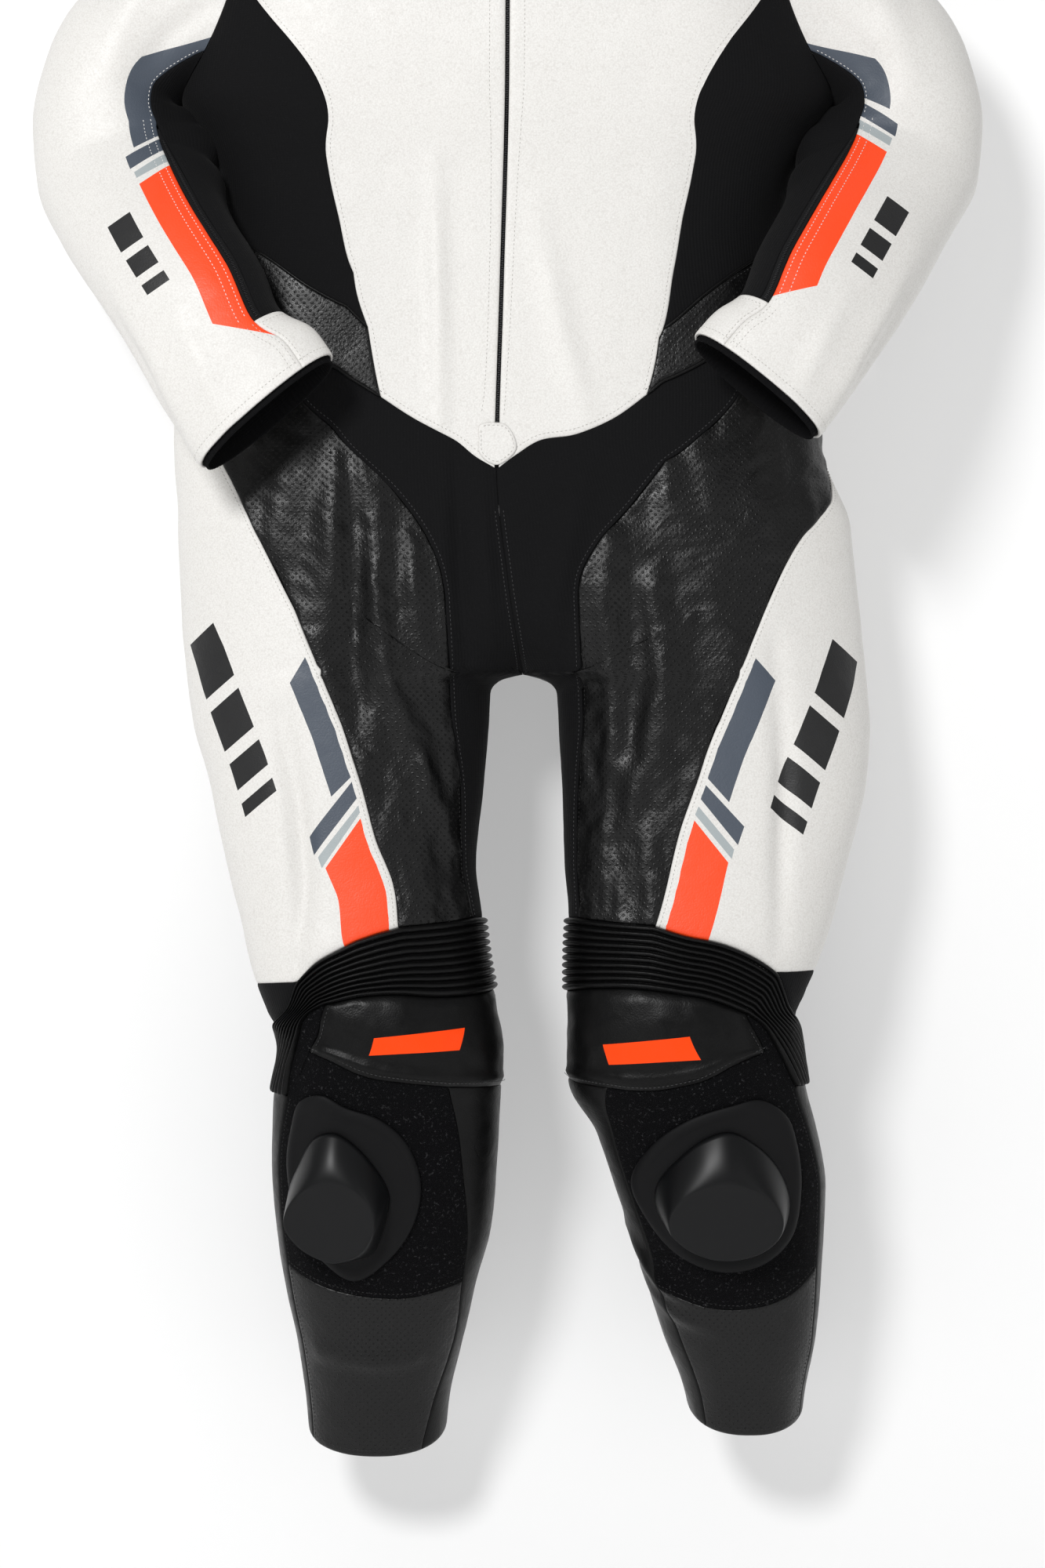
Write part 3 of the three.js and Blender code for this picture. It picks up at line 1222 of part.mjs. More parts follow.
function zipPull() {
  const tape = seams.r.centreFront[0];
  const face = tape.point.y - tape.normal.y * (LEATHER + ZIP_BEHIND) - LAID_GAP;
  const x = tape.point.x;
  const top = NECK_FRONT + SLIDER.above;
  const front = face - SLIDER.thick;
  const hinge = { y: front - SLIDER.hole - SLIDER.proud, z: top - SLIDER.eye };

  const profile = new THREE.Shape();
  profile.moveTo(face, top - SLIDER.height);
  profile.lineTo(front, top - SLIDER.height);
  profile.lineTo(front, hinge.z - SLIDER.hole - SLIDER.wall);
  profile.lineTo(hinge.y, hinge.z - SLIDER.hole - SLIDER.wall);
  profile.absarc(hinge.y, hinge.z, SLIDER.hole + SLIDER.wall, -Math.PI / 2, Math.PI / 2, true);
  profile.lineTo(front, hinge.z + SLIDER.hole + SLIDER.wall);
  profile.lineTo(front, top);
  profile.lineTo(face, top);
  const hole = new THREE.Path();
  hole.absarc(hinge.y, hinge.z, SLIDER.hole, 0, 2 * Math.PI, false);
  profile.holes.push(hole);
  const body = new THREE.ExtrudeGeometry(profile, { depth: SLIDER.bridge, bevelEnabled: false, curveSegments: 10 });
  const slider = new THREE.Mesh(body, ZIP_METAL);
  slider.name = 'zip_slider';
  slider.geometry.applyMatrix4(new THREE.Matrix4().makeBasis(
    new THREE.Vector3(0, 1, 0), new THREE.Vector3(0, 0, 1), new THREE.Vector3(1, 0, 0),
  ));
  slider.geometry.translate(x - SLIDER.bridge / 2, 0, 0);

  const outline = new THREE.Shape();
  const half = PULL.width / 2;
  const up = PULL.bar / 2;
  outline.moveTo(-half, up);
  outline.lineTo(-half, -PULL.length + half);
  outline.absarc(0, -PULL.length + half, half, Math.PI, 2 * Math.PI, false);
  outline.lineTo(half, up);
  const window = new THREE.Path();
  const clear = SLIDER.bridge / 2 + PULL.play;
  window.moveTo(-clear, -up);
  window.lineTo(clear, -up);
  window.lineTo(clear, -PULL.window);
  window.lineTo(-clear, -PULL.window);
  outline.holes.push(window);
  const plate = new THREE.ExtrudeGeometry(outline, { depth: PULL.thick, bevelEnabled: false, curveSegments: 8 });
  plate.translate(0, 0, -PULL.thick / 2);
  plate.applyMatrix4(new THREE.Matrix4().makeBasis(
    new THREE.Vector3(1, 0, 0), new THREE.Vector3(0, 0, 1), new THREE.Vector3(0, -1, 0),
  ));
  plate.translate(x, hinge.y, hinge.z);
  const pull = new THREE.Mesh(plate, ZIP_METAL);
  pull.name = 'zip_pull';
  model.add(slider, pull);
}

for (const side of ['r', 'l']) {
  torsoPieces(side);
  legPieces(side);
  sleevePieces(side);
  kneeSliders(side);
}
backPiece();
collarPiece();
zipPiece();
laidPiece('zip_end_tab', TAB_OUTLINE, WHITE_LEATHER, () => TAB_THICK, { spokes: 16, rings: [0.6, 1] });
zipPull();

export default model;
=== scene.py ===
import math
from types import SimpleNamespace

import bmesh
import bpy
import numpy as np
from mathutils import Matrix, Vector, noise


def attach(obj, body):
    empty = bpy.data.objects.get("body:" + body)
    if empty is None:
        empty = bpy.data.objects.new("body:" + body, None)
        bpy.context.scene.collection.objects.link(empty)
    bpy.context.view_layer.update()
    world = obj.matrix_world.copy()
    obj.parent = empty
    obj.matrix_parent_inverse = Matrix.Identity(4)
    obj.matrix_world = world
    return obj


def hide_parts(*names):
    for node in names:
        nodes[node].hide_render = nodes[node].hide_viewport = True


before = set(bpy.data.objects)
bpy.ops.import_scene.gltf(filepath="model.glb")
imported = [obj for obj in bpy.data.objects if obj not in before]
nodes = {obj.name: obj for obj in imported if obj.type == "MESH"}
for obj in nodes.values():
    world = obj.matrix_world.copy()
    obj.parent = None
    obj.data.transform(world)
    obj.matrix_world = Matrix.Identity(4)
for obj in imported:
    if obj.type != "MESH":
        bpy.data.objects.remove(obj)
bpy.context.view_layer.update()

# The camera stands 3 m in front of the suit and level with its thighs, with the lens of
# a long portrait shot.
camera_data = bpy.data.cameras.new("camera")
camera_data.lens = 79.4
camera_data.sensor_width = 36
camera = bpy.data.objects.new("camera", camera_data)
camera.location = (0.0078, -3.0, -0.816)
camera.rotation_euler = (math.radians(90), 0, 0)
bpy.context.scene.collection.objects.link(camera)
bpy.context.scene.camera = camera

# The pale studio: one swept sheet of paper makes the floor and the wall close behind the
# suit. It glows a little, as if it were lit, and can be seen through from behind.
WALL_Y = 0.115
FLOOR_Z = -1.62
SWEEP = 0.25
SWEEP_STEPS = 12
WALL_TOP = 1.6
PAPER_HALF = 4.0


def link(item):
    bpy.context.scene.collection.objects.link(item)
    return item


def sweep_sheet():
    profile = [(-PAPER_HALF, FLOOR_Z), (WALL_Y - SWEEP, FLOOR_Z)]
    for step in range(1, SWEEP_STEPS + 1):
        angle = math.pi / 2 * step / SWEEP_STEPS
        profile.append(
            (WALL_Y - SWEEP + SWEEP * math.sin(angle), FLOOR_Z + SWEEP * (1 - math.cos(angle)))
        )
    profile.append((WALL_Y, WALL_TOP))
    verts = [(x, y, z) for y, z in profile for x in (-PAPER_HALF, PAPER_HALF)]
    faces = [(2 * i, 2 * i + 1, 2 * i + 3, 2 * i + 2) for i in range(len(profile) - 1)]
    mesh = bpy.data.meshes.new("studio")
    mesh.from_pydata(verts, [], faces)
    for face in mesh.polygons:
        face.use_smooth = True
    return link(bpy.data.objects.new("studio", mesh))


studio = sweep_sheet()
paper = bpy.data.materials.new("studio_paper")
paper.use_nodes = True
tree = paper.node_tree
surface = tree.nodes["Principled BSDF"]
surface.inputs["Base Color"].default_value = (0.64, 0.64, 0.64, 1)
surface.inputs["Emission Color"].default_value = (1, 1, 1, 1)
surface.inputs["Emission Strength"].default_value = 0.33
surface.inputs["Roughness"].default_value = 0.9
seen_through = tree.nodes.new("ShaderNodeBsdfTransparent")
behind = tree.nodes.new("ShaderNodeNewGeometry")
either = tree.nodes.new("ShaderNodeMixShader")
tree.links.new(behind.outputs["Backfacing"], either.inputs["Fac"])
tree.links.new(surface.outputs["BSDF"], either.inputs[1])
tree.links.new(seen_through.outputs["BSDF"], either.inputs[2])
tree.links.new(either.outputs["Shader"], tree.nodes["Material Output"].inputs["Surface"])
studio.data.materials.append(paper)

# The lights: a soft key above and to the left of the camera, a wide weak fill on the
# right and an even pale room. Colours are shown as they are, without a film curve.
bpy.context.scene.view_settings.view_transform = "Standard"
world = bpy.data.worlds.new("room")
world.use_nodes = True
world.node_tree.nodes["Background"].inputs["Color"].default_value = (1.0, 1.0, 1.0, 1)
world.node_tree.nodes["Background"].inputs["Strength"].default_value = 0.4
bpy.context.scene.world = world


def area_light(name, place, target, size, power):
    lamp = bpy.data.lights.new(name, "AREA")
    lamp.shape = "DISK"
    lamp.size = size
    lamp.energy = power
    item = link(bpy.data.objects.new(name, lamp))
    item.location = place
    way = Vector(target) - Vector(place)
    item.rotation_euler = way.to_track_quat("-Z", "Y").to_euler()


area_light("key", (-1.25, -3.3, 0.9), (0.0, 0.0, -0.75), 0.85, 90)
area_light("fill", (2.2, -2.6, -0.6), (0.0, 0.0, -0.8), 2.0, 6)

# The suit's own form, which every cut piece lies on: a torso and two legs that a body
# has filled out. Tables are in millimetres; u runs round each half from the centre
# front (0) by the front (0.25), the side (0.5) and the back (0.75) to the centre back
# (1), and round each leg from its inner seam. HAND is the sign of x on each side.
MM = 0.001
NECK_FRONT = -35
NECK_SIDE = 12
NECK_BACK = 20
SHOULDER = -40
CROTCH = -722
CROTCH_DEPTH = -12
RISE = 80
CROTCH_ROUND = 16
SEAM_BLEND = 60
LEG_START = -600
LEG_BLEND = 80
FULLNESS = 0.88
HAND = {"r": -1, "l": 1}
OTHER = {"r": "l", "l": "r"}

# Columns: z, front, middle, back
DEPTH = np.array([
    (30, -34, 2, 34), (12, -44, 0, 42), (-8, -53, 0, 50), (-35, -66, 0, 62),
    (-80, -80, -2, 74), (-130, -88, -3, 82), (-180, -90, -4, 84), (-240, -86, -5, 82),
    (-300, -79, -6, 76), (-360, -76, -6, 75), (-430, -77, -4, 82), (-500, -81, -3, 91),
    (-560, -85, -3, 96), (-640, -90, -6, 94), (-722, -94, -13, 84), (-780, -96, -20, 70),
    (-830, -98, -26, 57), (-880, -101, -33, 44), (-930, -107, -41, 30), (-975, -114, -48, 19),
    (-1025, -121, -54, 11), (-1060, -119, -53, 13), (-1100, -106, -44, 25), (-1160, -92, -30, 41),
    (-1220, -79, -17, 51), (-1290, -61, -3, 57), (-1350, -42, 8, 57), (-1420, -24, 20, 58),
], float)
# Columns: z, x of the centre line
CENTRE = np.array([
    (30, -4), (-209, -5), (-400, -10), (-550, -14), (-640, -5), (-722, 8),
], float)
# Columns: z, half width of the torso
HALF_WIDTH = np.array([
    (30, 48), (12, 72), (5, 98), (-8, 142), (-25, 196), (-40, 232), (-80, 248), (-130, 262),
    (-180, 274), (-225, 282), (-262, 260), (-300, 246), (-335, 243), (-380, 251), (-430, 267),
    (-500, 280), (-560, 280),
], float)
# Columns: z, inner x, outer x of each leg
LEG = {
    "r": np.array([
        (-600, -14, -290), (-680, -16, -286), (-722, -19, -282), (-765, -21, -275),
        (-814, -25, -261), (-883, -32, -246), (-927, -27, -234), (-965, -22, -225),
        (-987, -18, -218), (-1010, -14, -209), (-1028, -10, -199), (-1040, -9, -197),
        (-1086, -11, -205), (-1141, -14, -207), (-1195, -19, -204), (-1245, -32, -197),
        (-1298, -44, -187), (-1350, -56, -180), (-1420, -62, -176),
    ], float),
    "l": np.array([
        (-600, 30, 292), (-687, 33, 301), (-733, 37, 305), (-765, 39, 307), (-816, 42, 303),
        (-883, 44, 286), (-927, 47, 274), (-967, 46, 260), (-994, 46, 248), (-1014, 47, 240),
        (-1030, 46, 242), (-1069, 47, 248), (-1114, 71, 260), (-1161, 87, 268),
        (-1226, 109, 266), (-1290, 129, 262), (-1344, 149, 253), (-1420, 162, 246),
    ], float),
}
HEM = {"r": (-1374, 20), "l": (-1357, 18)}


def follow(table, column, at):
    place, value = table[:, 0], table[:, column]
    if place[0] > place[-1]:
        place, value = place[::-1], value[::-1]
    slope = np.diff(value) / np.diff(place)
    before, after = slope[:-1], slope[1:]
    same = before * after > 0
    inside = np.where(same, 2 * before * after / np.where(same, before + after, 1), 0)
    tangent = np.concatenate([slope[:1], inside, slope[-1:]])
    at = np.asarray(at, float)
    low = np.clip(np.searchsorted(place, at) - 1, 0, len(place) - 2)
    width = place[low + 1] - place[low]
    t = np.clip((at - place[low]) / width, 0, 1)
    curve = (
        (1 + 2 * t) * (1 - t) ** 2 * value[low]
        + t * (1 - t) ** 2 * width * tangent[low]
        + t * t * (3 - 2 * t) * value[low + 1]
        + t * t * (t - 1) * width * tangent[low + 1]
    )
    beyond = np.where(at < place[0], (at - place[0]) * tangent[0], 0)
    return curve + beyond + np.where(at > place[-1], (at - place[-1]) * tangent[-1], 0)


def smoothstep(at, low, high):
    t = np.clip((at - low) / (high - low), 0, 1)
    return t * t * (3 - 2 * t)


def quarter_circle(share):
    return np.sqrt(1 - (1 - np.clip(share, 0, 1)) ** 2)


def half_body(side, u, z):
    centre = follow(CENTRE, 1, np.maximum(z, CROTCH))
    front, mid, back = (follow(DEPTH, column, z) for column in (1, 2, 3))
    torso = centre + HAND[side] * follow(HALF_WIDTH, 1, z)
    blend = smoothstep(-z, -LEG_START - LEG_BLEND, -LEG_START)
    outer = torso + (follow(LEG[side], 2, np.minimum(z, LEG_START)) - torso) * blend
    above = z > CROTCH
    share = quarter_circle((z - CROTCH) / RISE)
    seam = mid + (CROTCH_DEPTH - mid) * smoothstep(z, CROTCH - SEAM_BLEND, CROTCH)
    front_in = np.where(above, CROTCH_DEPTH + (front - CROTCH_DEPTH) * share, seam)
    back_in = np.where(above, CROTCH_DEPTH + (back - CROTCH_DEPTH) * share, seam)
    opened = quarter_circle((CROTCH - z) / CROTCH_ROUND)
    inner = np.where(above, centre, centre + (follow(LEG[side], 1, z) - centre) * opened)
    middle = (inner + outer) / 2
    quarter = np.minimum(np.floor(u * 4), 3)
    t = u * 4 - quarter
    rising = np.abs(np.sin(t * math.pi / 2)) ** FULLNESS
    falling = np.abs(np.cos(t * math.pi / 2)) ** FULLNESS
    first, last_one = quarter == 0, quarter == 3
    edge = np.where(first, front_in, back_in)
    far = np.where(quarter < 2, front, back)
    away = np.where(first, t, 1 - t)
    up = np.where(first, rising, falling)
    along = np.where(first, falling, rising)
    roundness = (far - edge) / (far - mid)
    inner_share = (1 - roundness) * away + roundness * (1 - along)
    out = np.where(quarter == 1, rising, falling)
    deep = np.where(quarter == 1, falling, rising)
    inside = first | last_one
    x = np.where(inside, inner + (middle - inner) * inner_share, middle + (outer - middle) * out)
    y = np.where(inside, edge + (far - edge) * up, mid + (far - mid) * deep)
    return np.stack([x, y, np.broadcast_to(z, x.shape)], axis=-1)


def body_base(side, u, z):
    u, z = np.broadcast_arrays(np.asarray(u, float), np.asarray(z, float))
    points = half_body(side, np.where(u < 0, u + 1, np.where(u > 1, u - 1, u)), z)
    over = ((u < 0) | (u > 1)) & (z > CROTCH)
    if over.any():
        mirrored = np.where(u < 0, -u, 2 - u)
        points[over] = half_body(OTHER[side], mirrored[over], z[over])
    return points


def unit(vectors):
    return vectors / np.maximum(np.linalg.norm(vectors, axis=-1, keepdims=True), 1e-9)


# How far apart on the form two places are whose difference gives its slope, and how
# near to the crotch that isn't done
U_STEP = 0.006
Z_STEP = 2
CROTCH_CLEAR = 2.5


def body_normal(side, u, z):
    u, z = np.broadcast_arrays(np.asarray(u, float), np.asarray(z, float))
    under, over = np.minimum(z, CROTCH - CROTCH_CLEAR), np.maximum(z, CROTCH + CROTCH_CLEAR)
    level = np.where(z <= CROTCH, under, over)
    along_u = body_base(side, u + U_STEP, level) - body_base(side, u - U_STEP, level)
    along_z = body_base(side, u, level + Z_STEP) - body_base(side, u, level - Z_STEP)
    normal = unit(np.cross(along_u, along_z)) * HAND[side]
    at_crotch = (np.abs(z - CROTCH) < 1) & ((u < 0.01) | (u > 0.99))
    normal[at_crotch] = (0, 0, -1)
    return normal


def front_u(side, x, z, inside=0):
    """u where the front has this x and z, or where the back has them if inside is 1."""
    x, z = np.broadcast_arrays(np.asarray(x, float), np.asarray(z, float))
    low, high = np.full(x.shape, float(inside)), np.full(x.shape, 0.5)
    for _ in range(30):
        half = (low + high) / 2
        short = HAND[side] * (body_base(side, half, z)[..., 0] - x) < 0
        low, high = np.where(short, half, low), np.where(short, high, half)
    return (low + high) / 2


def lengths_along(points):
    return np.concatenate([[0], np.cumsum(np.linalg.norm(np.diff(points, axis=0), axis=1))])


def read_at(values, places, where):
    """The rows of values that lie at the places, read at where and in between."""
    return np.stack([np.interp(where, places, column) for column in values.T], axis=-1)


CURVE_STEPS = 60


def smooth_path(controls, count):
    """Evenly spaced points on a centripetal curve through the controls."""
    p = np.asarray(controls, float)
    p = np.vstack([2 * p[0] - p[1], p, 2 * p[-1] - p[-2]])
    fine = [p[1]]
    for i in range(1, len(p) - 2):
        knots = [0.0]
        for k in range(3):
            gap = np.linalg.norm(p[i + k] - p[i + k - 1]) ** 0.5
            knots.append(knots[-1] + max(gap, 1e-4))
        t0, t1, t2, t3 = knots
        for t in np.linspace(t1, t2, CURVE_STEPS)[1:]:
            a1 = (t1 - t) / (t1 - t0) * p[i - 1] + (t - t0) / (t1 - t0) * p[i]
            a2 = (t2 - t) / (t2 - t1) * p[i] + (t - t1) / (t2 - t1) * p[i + 1]
            a3 = (t3 - t) / (t3 - t2) * p[i + 1] + (t - t2) / (t3 - t2) * p[i + 2]
            b1 = (t2 - t) / (t2 - t0) * a1 + (t - t0) / (t2 - t0) * a2
            b2 = (t3 - t) / (t3 - t1) * a2 + (t - t1) / (t3 - t1) * a3
            fine.append((t2 - t) / (t2 - t1) * b1 + (t - t1) / (t2 - t1) * b2)
    fine = np.array(fine)
    length = lengths_along(fine)
    wanted = np.asarray(count) if np.ndim(count) else np.linspace(0, 1, count + 1)
    return read_at(fine, length, wanted * length[-1])


# Folds in the cloth. Columns: side, height, width, then the line that each follows,
# as x and z seen from the front, or as u and z where u is under 2
FOLDS = [
    ("r", 4, 9, (-66, -290), (-64, -390), (-62, -512)),
    ("l", 3, 12, (20, -330), (40, -430), (62, -505)),
    ("r", 6, 12, (-149, -540), (-152, -590), (-148, -640)),
    ("r", 7, 11, (-122, -560), (-117, -640), (-104, -730), (-72, -815), (-50, -870)),
    ("r", -6, 12, (-135, -600), (-138, -700), (-124, -780)),
    ("r", 5, 10, (-82, -625), (-74, -720)),
    ("r", -9, 10, (-196, -760), (-182, -830), (-176, -900), (-181, -965)),
    ("r", -6, 7, (-48, -545), (-45, -640), (-40, -718)),
    ("r", 4, 8, (-26, -560), (-22, -640), (-18, -700)),
    ("l", 6, 13, (82, -612), (83, -700), (82, -790)),
    ("l", 6, 12, (117, -650), (124, -720), (115, -795), (92, -850)),
    ("l", -5, 12, (100, -640), (103, -720), (98, -790)),
    ("l", -7, 10, (222, -700), (228, -800), (226, -880), (224, -950)),
    ("l", 5, 12, (60, -560), (40, -640), (30, -700)),
    ("r", 5, 9, (-165, -1300), (-120, -1308), (-85, -1305)),
    ("l", 5, 8, (92, -1195), (125, -1240), (160, -1262)),
    ("l", 4, 8, (101, -1232), (140, -1268), (175, -1280)),
    ("r", -6, 11, (0.62, -1000), (0.8, -1012), (0.95, -1005)),
    ("r", -6, 11, (0.6, -1045), (0.8, -1052), (0.96, -1042)),
    ("l", -6, 11, (0.62, -998), (0.8, -1010), (0.95, -1003)),
    ("l", -6, 11, (0.6, -1042), (0.8, -1050), (0.96, -1040)),
    ("r", -8, 13, (0.9, -740), (0.8, -752), (0.68, -745)),
    ("l", -8, 13, (0.9, -742), (0.8, -756), (0.68, -748)),
]


def fold_path(side, line):
    places = [
        (across if abs(across) < 2 else float(front_u(side, across, z)), z) for across, z in line
    ]
    return np.array([body_base(side, u, z) for u, z in places])


fold_paths = [
    (side, height, width, fold_path(side, line)) for side, height, width, *line in FOLDS
]


# A fold is followed out to so many times its width, and runs out towards its ends
FOLD_REACH = 3
FOLD_ENDS = (0.08, 0.92)
FOLD_TAPER = 0.6


def fold_height(side, points):
    flat = points.reshape(-1, 3)
    total = np.zeros(len(flat))
    for fold_side, height, width, path in fold_paths:
        if fold_side != side:
            continue
        reach = FOLD_REACH * width
        near = np.all((flat > path.min(axis=0) - reach) & (flat < path.max(axis=0) + reach), axis=1)
        some = flat[near]
        if not len(some):
            continue
        best = np.full(len(some), 1e9)
        share = np.zeros(len(some))
        for i in range(len(path) - 1):
            way = path[i + 1] - path[i]
            t = np.clip((some - path[i]) @ way / (way @ way), 0, 1)
            distance = np.linalg.norm(some - path[i] - t[:, None] * way, axis=1)
            closer = distance < best
            best = np.where(closer, distance, best)
            share = np.where(closer, (i + t) / (len(path) - 1), share)
        taper = np.sin(math.pi * np.clip(share, *FOLD_ENDS)) ** FOLD_TAPER
        total[near] += height * taper * np.exp(-((best / width) ** 2))
    return total.reshape(points.shape[:-1])


def body_place(side, u, z):
    base = body_base(side, u, z)
    normal = body_normal(side, u, z)
    return base + normal * fold_height(side, base)[..., None], normal


U_LENGTH = 640


def seam(side, controls, count, crowding=1):
    """A seam's places. A control's first number is u, or x in mm where it is over 2."""
    places = [
        ((a if abs(a) < 2 else float(front_u(side, a, z))) * U_LENGTH, z) for a, z in controls
    ]
    share = np.linspace(0, 1, count + 1) ** crowding
    return smooth_path(places, share) / (U_LENGTH, 1)


# How far above and below the crotch the step in u reaches
STEP_ABOVE = 55
STEP_BELOW = 42


def straightened(side, line, inside=0):
    """Takes out the step that u has where the legs part, so the seam runs straight there."""
    x, z = body_base(side, *line.T)[:, 0], line[:, 1]
    near = (z < CROTCH + STEP_ABOVE) & (z > CROTCH - STEP_BELOW)
    ends = np.flatnonzero(near)[[0, -1]]
    even_x = np.interp(z[near], z[ends][::-1], x[ends][::-1])
    straight = line.copy()
    straight[near, 0] = front_u(side, even_x, z[near], inside)
    return straight


FINEST = 400


def stretches(side, controls, starts, counts):
    """One long seam as several, which part where u reaches each of the starts."""
    fine = seam(side, controls, FINEST)
    at = [0, *(int(np.argmax(fine[:, 0] >= u)) for u in starts), FINEST]
    return [
        read_at(fine, np.arange(FINEST + 1), np.linspace(at[k], at[k + 1], count + 1))
        for k, count in enumerate(counts)
    ]


def joined(*parts):
    return np.vstack([parts[0], *(part[1:] for part in parts[1:])])


def to_back(line):
    """The same line, with the places on the inner side counted on from the back."""
    u, z = line.T
    return np.stack([np.where(u < 0.5, u + 1, u), z], axis=-1)


# Where each seam runs. Columns: x in mm, or u where it is under 2, and z, which None
# puts on the hem. thigh_start is the x where the thigh's inner seam leaves the band
LINES = {
    "r": {
        "white_edge": [(-163, -226), (-158, -287), (-147, -340), (-134, -393), (-123, -430)],
        "band_front": [(-123, -430), (-118, -460), (-112, -489)],
        "band_top": [(-123, -430), (-170, -397), (-218, -363), (0.5, -340), (0.66, -338)],
        "vee": [(0, -550), (-31, -540), (-47, -527), (-66, -517), (-86, -506), (-112, -489)],
        "band_bottom": [(-112, -489), (-152, -463), (-214, -423), (0.5, -398), (0.66, -392)],
        "thigh_start": -196,
        "thigh_inner": [
            (-189, -477), (-146, -524), (-98, -572), (-71, -611), (-58, -652), (-51, -730),
            (-43, -844), (-34, -929),
        ],
        "thigh_outer": [
            (0.5, -440), (-270, -500), (-245, -548), (-211, -617), (-179, -679), (-151, -752),
            (-132, -803), (-116, -860), (-101, -898), (-96, -936),
        ],
        "ribs_top": [(-96, -936), (-120, -943), (-145, -954), (-166, -966), (-181, -982)],
        "white_bottom": [(-181, -982), (0.5, -986), (0.6, -986)],
        "ribs_side": [(-181, -982), (-188, -1004), (0.47, -1022), (0.52, -1046), (0.55, -1076)],
        "ribs_end": [(0.55, -1076), (-190, -1078)],
        "cap_top": [(0, -990), (-60, -994), (-110, -992), (-157, -1000)],
        "ribs_inside": [
            (-157, -1000), (-171, -1008), (-179, -1026), (-186, -1050), (-190, -1078),
        ],
        "cap_end": [(-157, -1000), (-162, -1018), (-172, -1040)],
        "cap_bottom": [(-172, -1040), (-152, -1048), (-128, -1059), (-100, -1065), (-54, -1070)],
        "cap_inside": [(-54, -1070), (0, -1072)],
        "loop_inside": [(-54, -1070), (-46, -1110), (-42, -1150), (-43, -1240)],
        "shin_inside": [(-43, -1240), (-50, -1290), (0.14, None)],
        "leg_side": [(-190, -1078), (0.43, -1130), (0.43, -1226)],
        "shin_side": [(0.43, -1226), (0.43, -1300), (0.43, None)],
        "loop_bottom": [(0.43, -1226), (-150, -1246), (-95, -1252), (-43, -1240)],
    },
    "l": {
        "white_edge": [(160, -226), (154, -287), (143, -340), (134, -393), (127, -431)],
        "band_front": [(127, -431), (120, -460), (113, -487)],
        "band_top": [(127, -431), (163, -401), (205, -370), (0.5, -342), (0.66, -338)],
        "vee": [(0, -550), (2.1, -538), (22, -526), (52, -521), (85, -507), (113, -487)],
        "band_bottom": [(113, -487), (157, -461), (205, -428), (0.5, -398), (0.66, -392)],
        "thigh_start": 205,
        "thigh_inner": [
            (192, -485), (142, -535), (104, -575), (68, -618), (55, -650), (53, -727),
            (54, -829), (55, -929),
        ],
        "thigh_outer": [
            (0.5, -450), (274, -530), (244, -609), (201, -692), (185, -727), (167, -778),
            (152, -821), (141, -852), (130, -896), (119, -935),
        ],
        "ribs_top": [(119, -935), (145, -943), (177, -950), (204, -962), (221, -974)],
        "white_bottom": [(221, -974), (0.5, -975), (0.6, -980)],
        "ribs_side": [(221, -974), (229, -998), (0.47, -1018), (0.52, -1044), (0.55, -1072)],
        "ribs_end": [(0.55, -1072), (237, -1070)],
        "cap_top": [(0, -992), (99, -987), (150, -993), (195, -1008)],
        "ribs_inside": [(195, -1008), (208, -1018), (219, -1034), (228, -1051), (237, -1070)],
        "cap_end": [(195, -1008), (203, -1024), (212, -1040)],
        "cap_bottom": [(212, -1040), (185, -1051), (151, -1067), (115, -1073), (79, -1071)],
        "cap_inside": [(79, -1071), (0, -1066)],
        "loop_inside": [(79, -1071), (86, -1119), (108, -1188), (126, -1244)],
        "shin_inside": [(126, -1244), (148, -1305), (0.12, None)],
        "leg_side": [(237, -1070), (0.43, -1130), (0.43, -1228)],
        "shin_side": [(0.43, -1228), (0.43, -1300), (0.43, None)],
        "loop_bottom": [(0.43, -1228), (232, -1252), (180, -1262), (126, -1244)],
    },
}
KNEE_TOP = -930
# The armhole is an oval in u and z round the side
ARMHOLE_MIDDLE = -132.5
ARMHOLE_REACH = 92.5
ARMHOLE_SHARE = 0.112


def armhole_at(w):
    angle = 2 * math.pi * np.asarray(w, float)
    u = 0.5 - ARMHOLE_SHARE * np.sin(angle)
    return np.stack([u, ARMHOLE_MIDDLE + ARMHOLE_REACH * np.cos(angle)], axis=-1)


def armhole(start, end, count):
    return armhole_at(np.linspace(start, end, count + 1))


def hem_height(side, u):
    middle, drop = HEM[side]
    return middle - drop * np.sin(2 * math.pi * u)


def hem(side, start, end, count):
    u = np.linspace(start, end, count + 1)
    return np.stack([u, hem_height(side, u)], axis=-1)


# Nodes along a seam for each of the coarse steps that its neighbours share
FINE = 8
# Coarse steps of each seam that follows its own line from end to end
STEPS = {
    "band_front": 2, "band_top": 13, "vee": 7, "white_bottom": 1, "ribs_side": 5, "ribs_end": 5,
    "ribs_inside": 5, "cap_top": 10, "cap_end": 3, "cap_bottom": 7, "cap_inside": 3, "leg_side": 4,
    "loop_inside": 9, "loop_bottom": 10, "shin_side": 4, "shin_inside": 4,
}


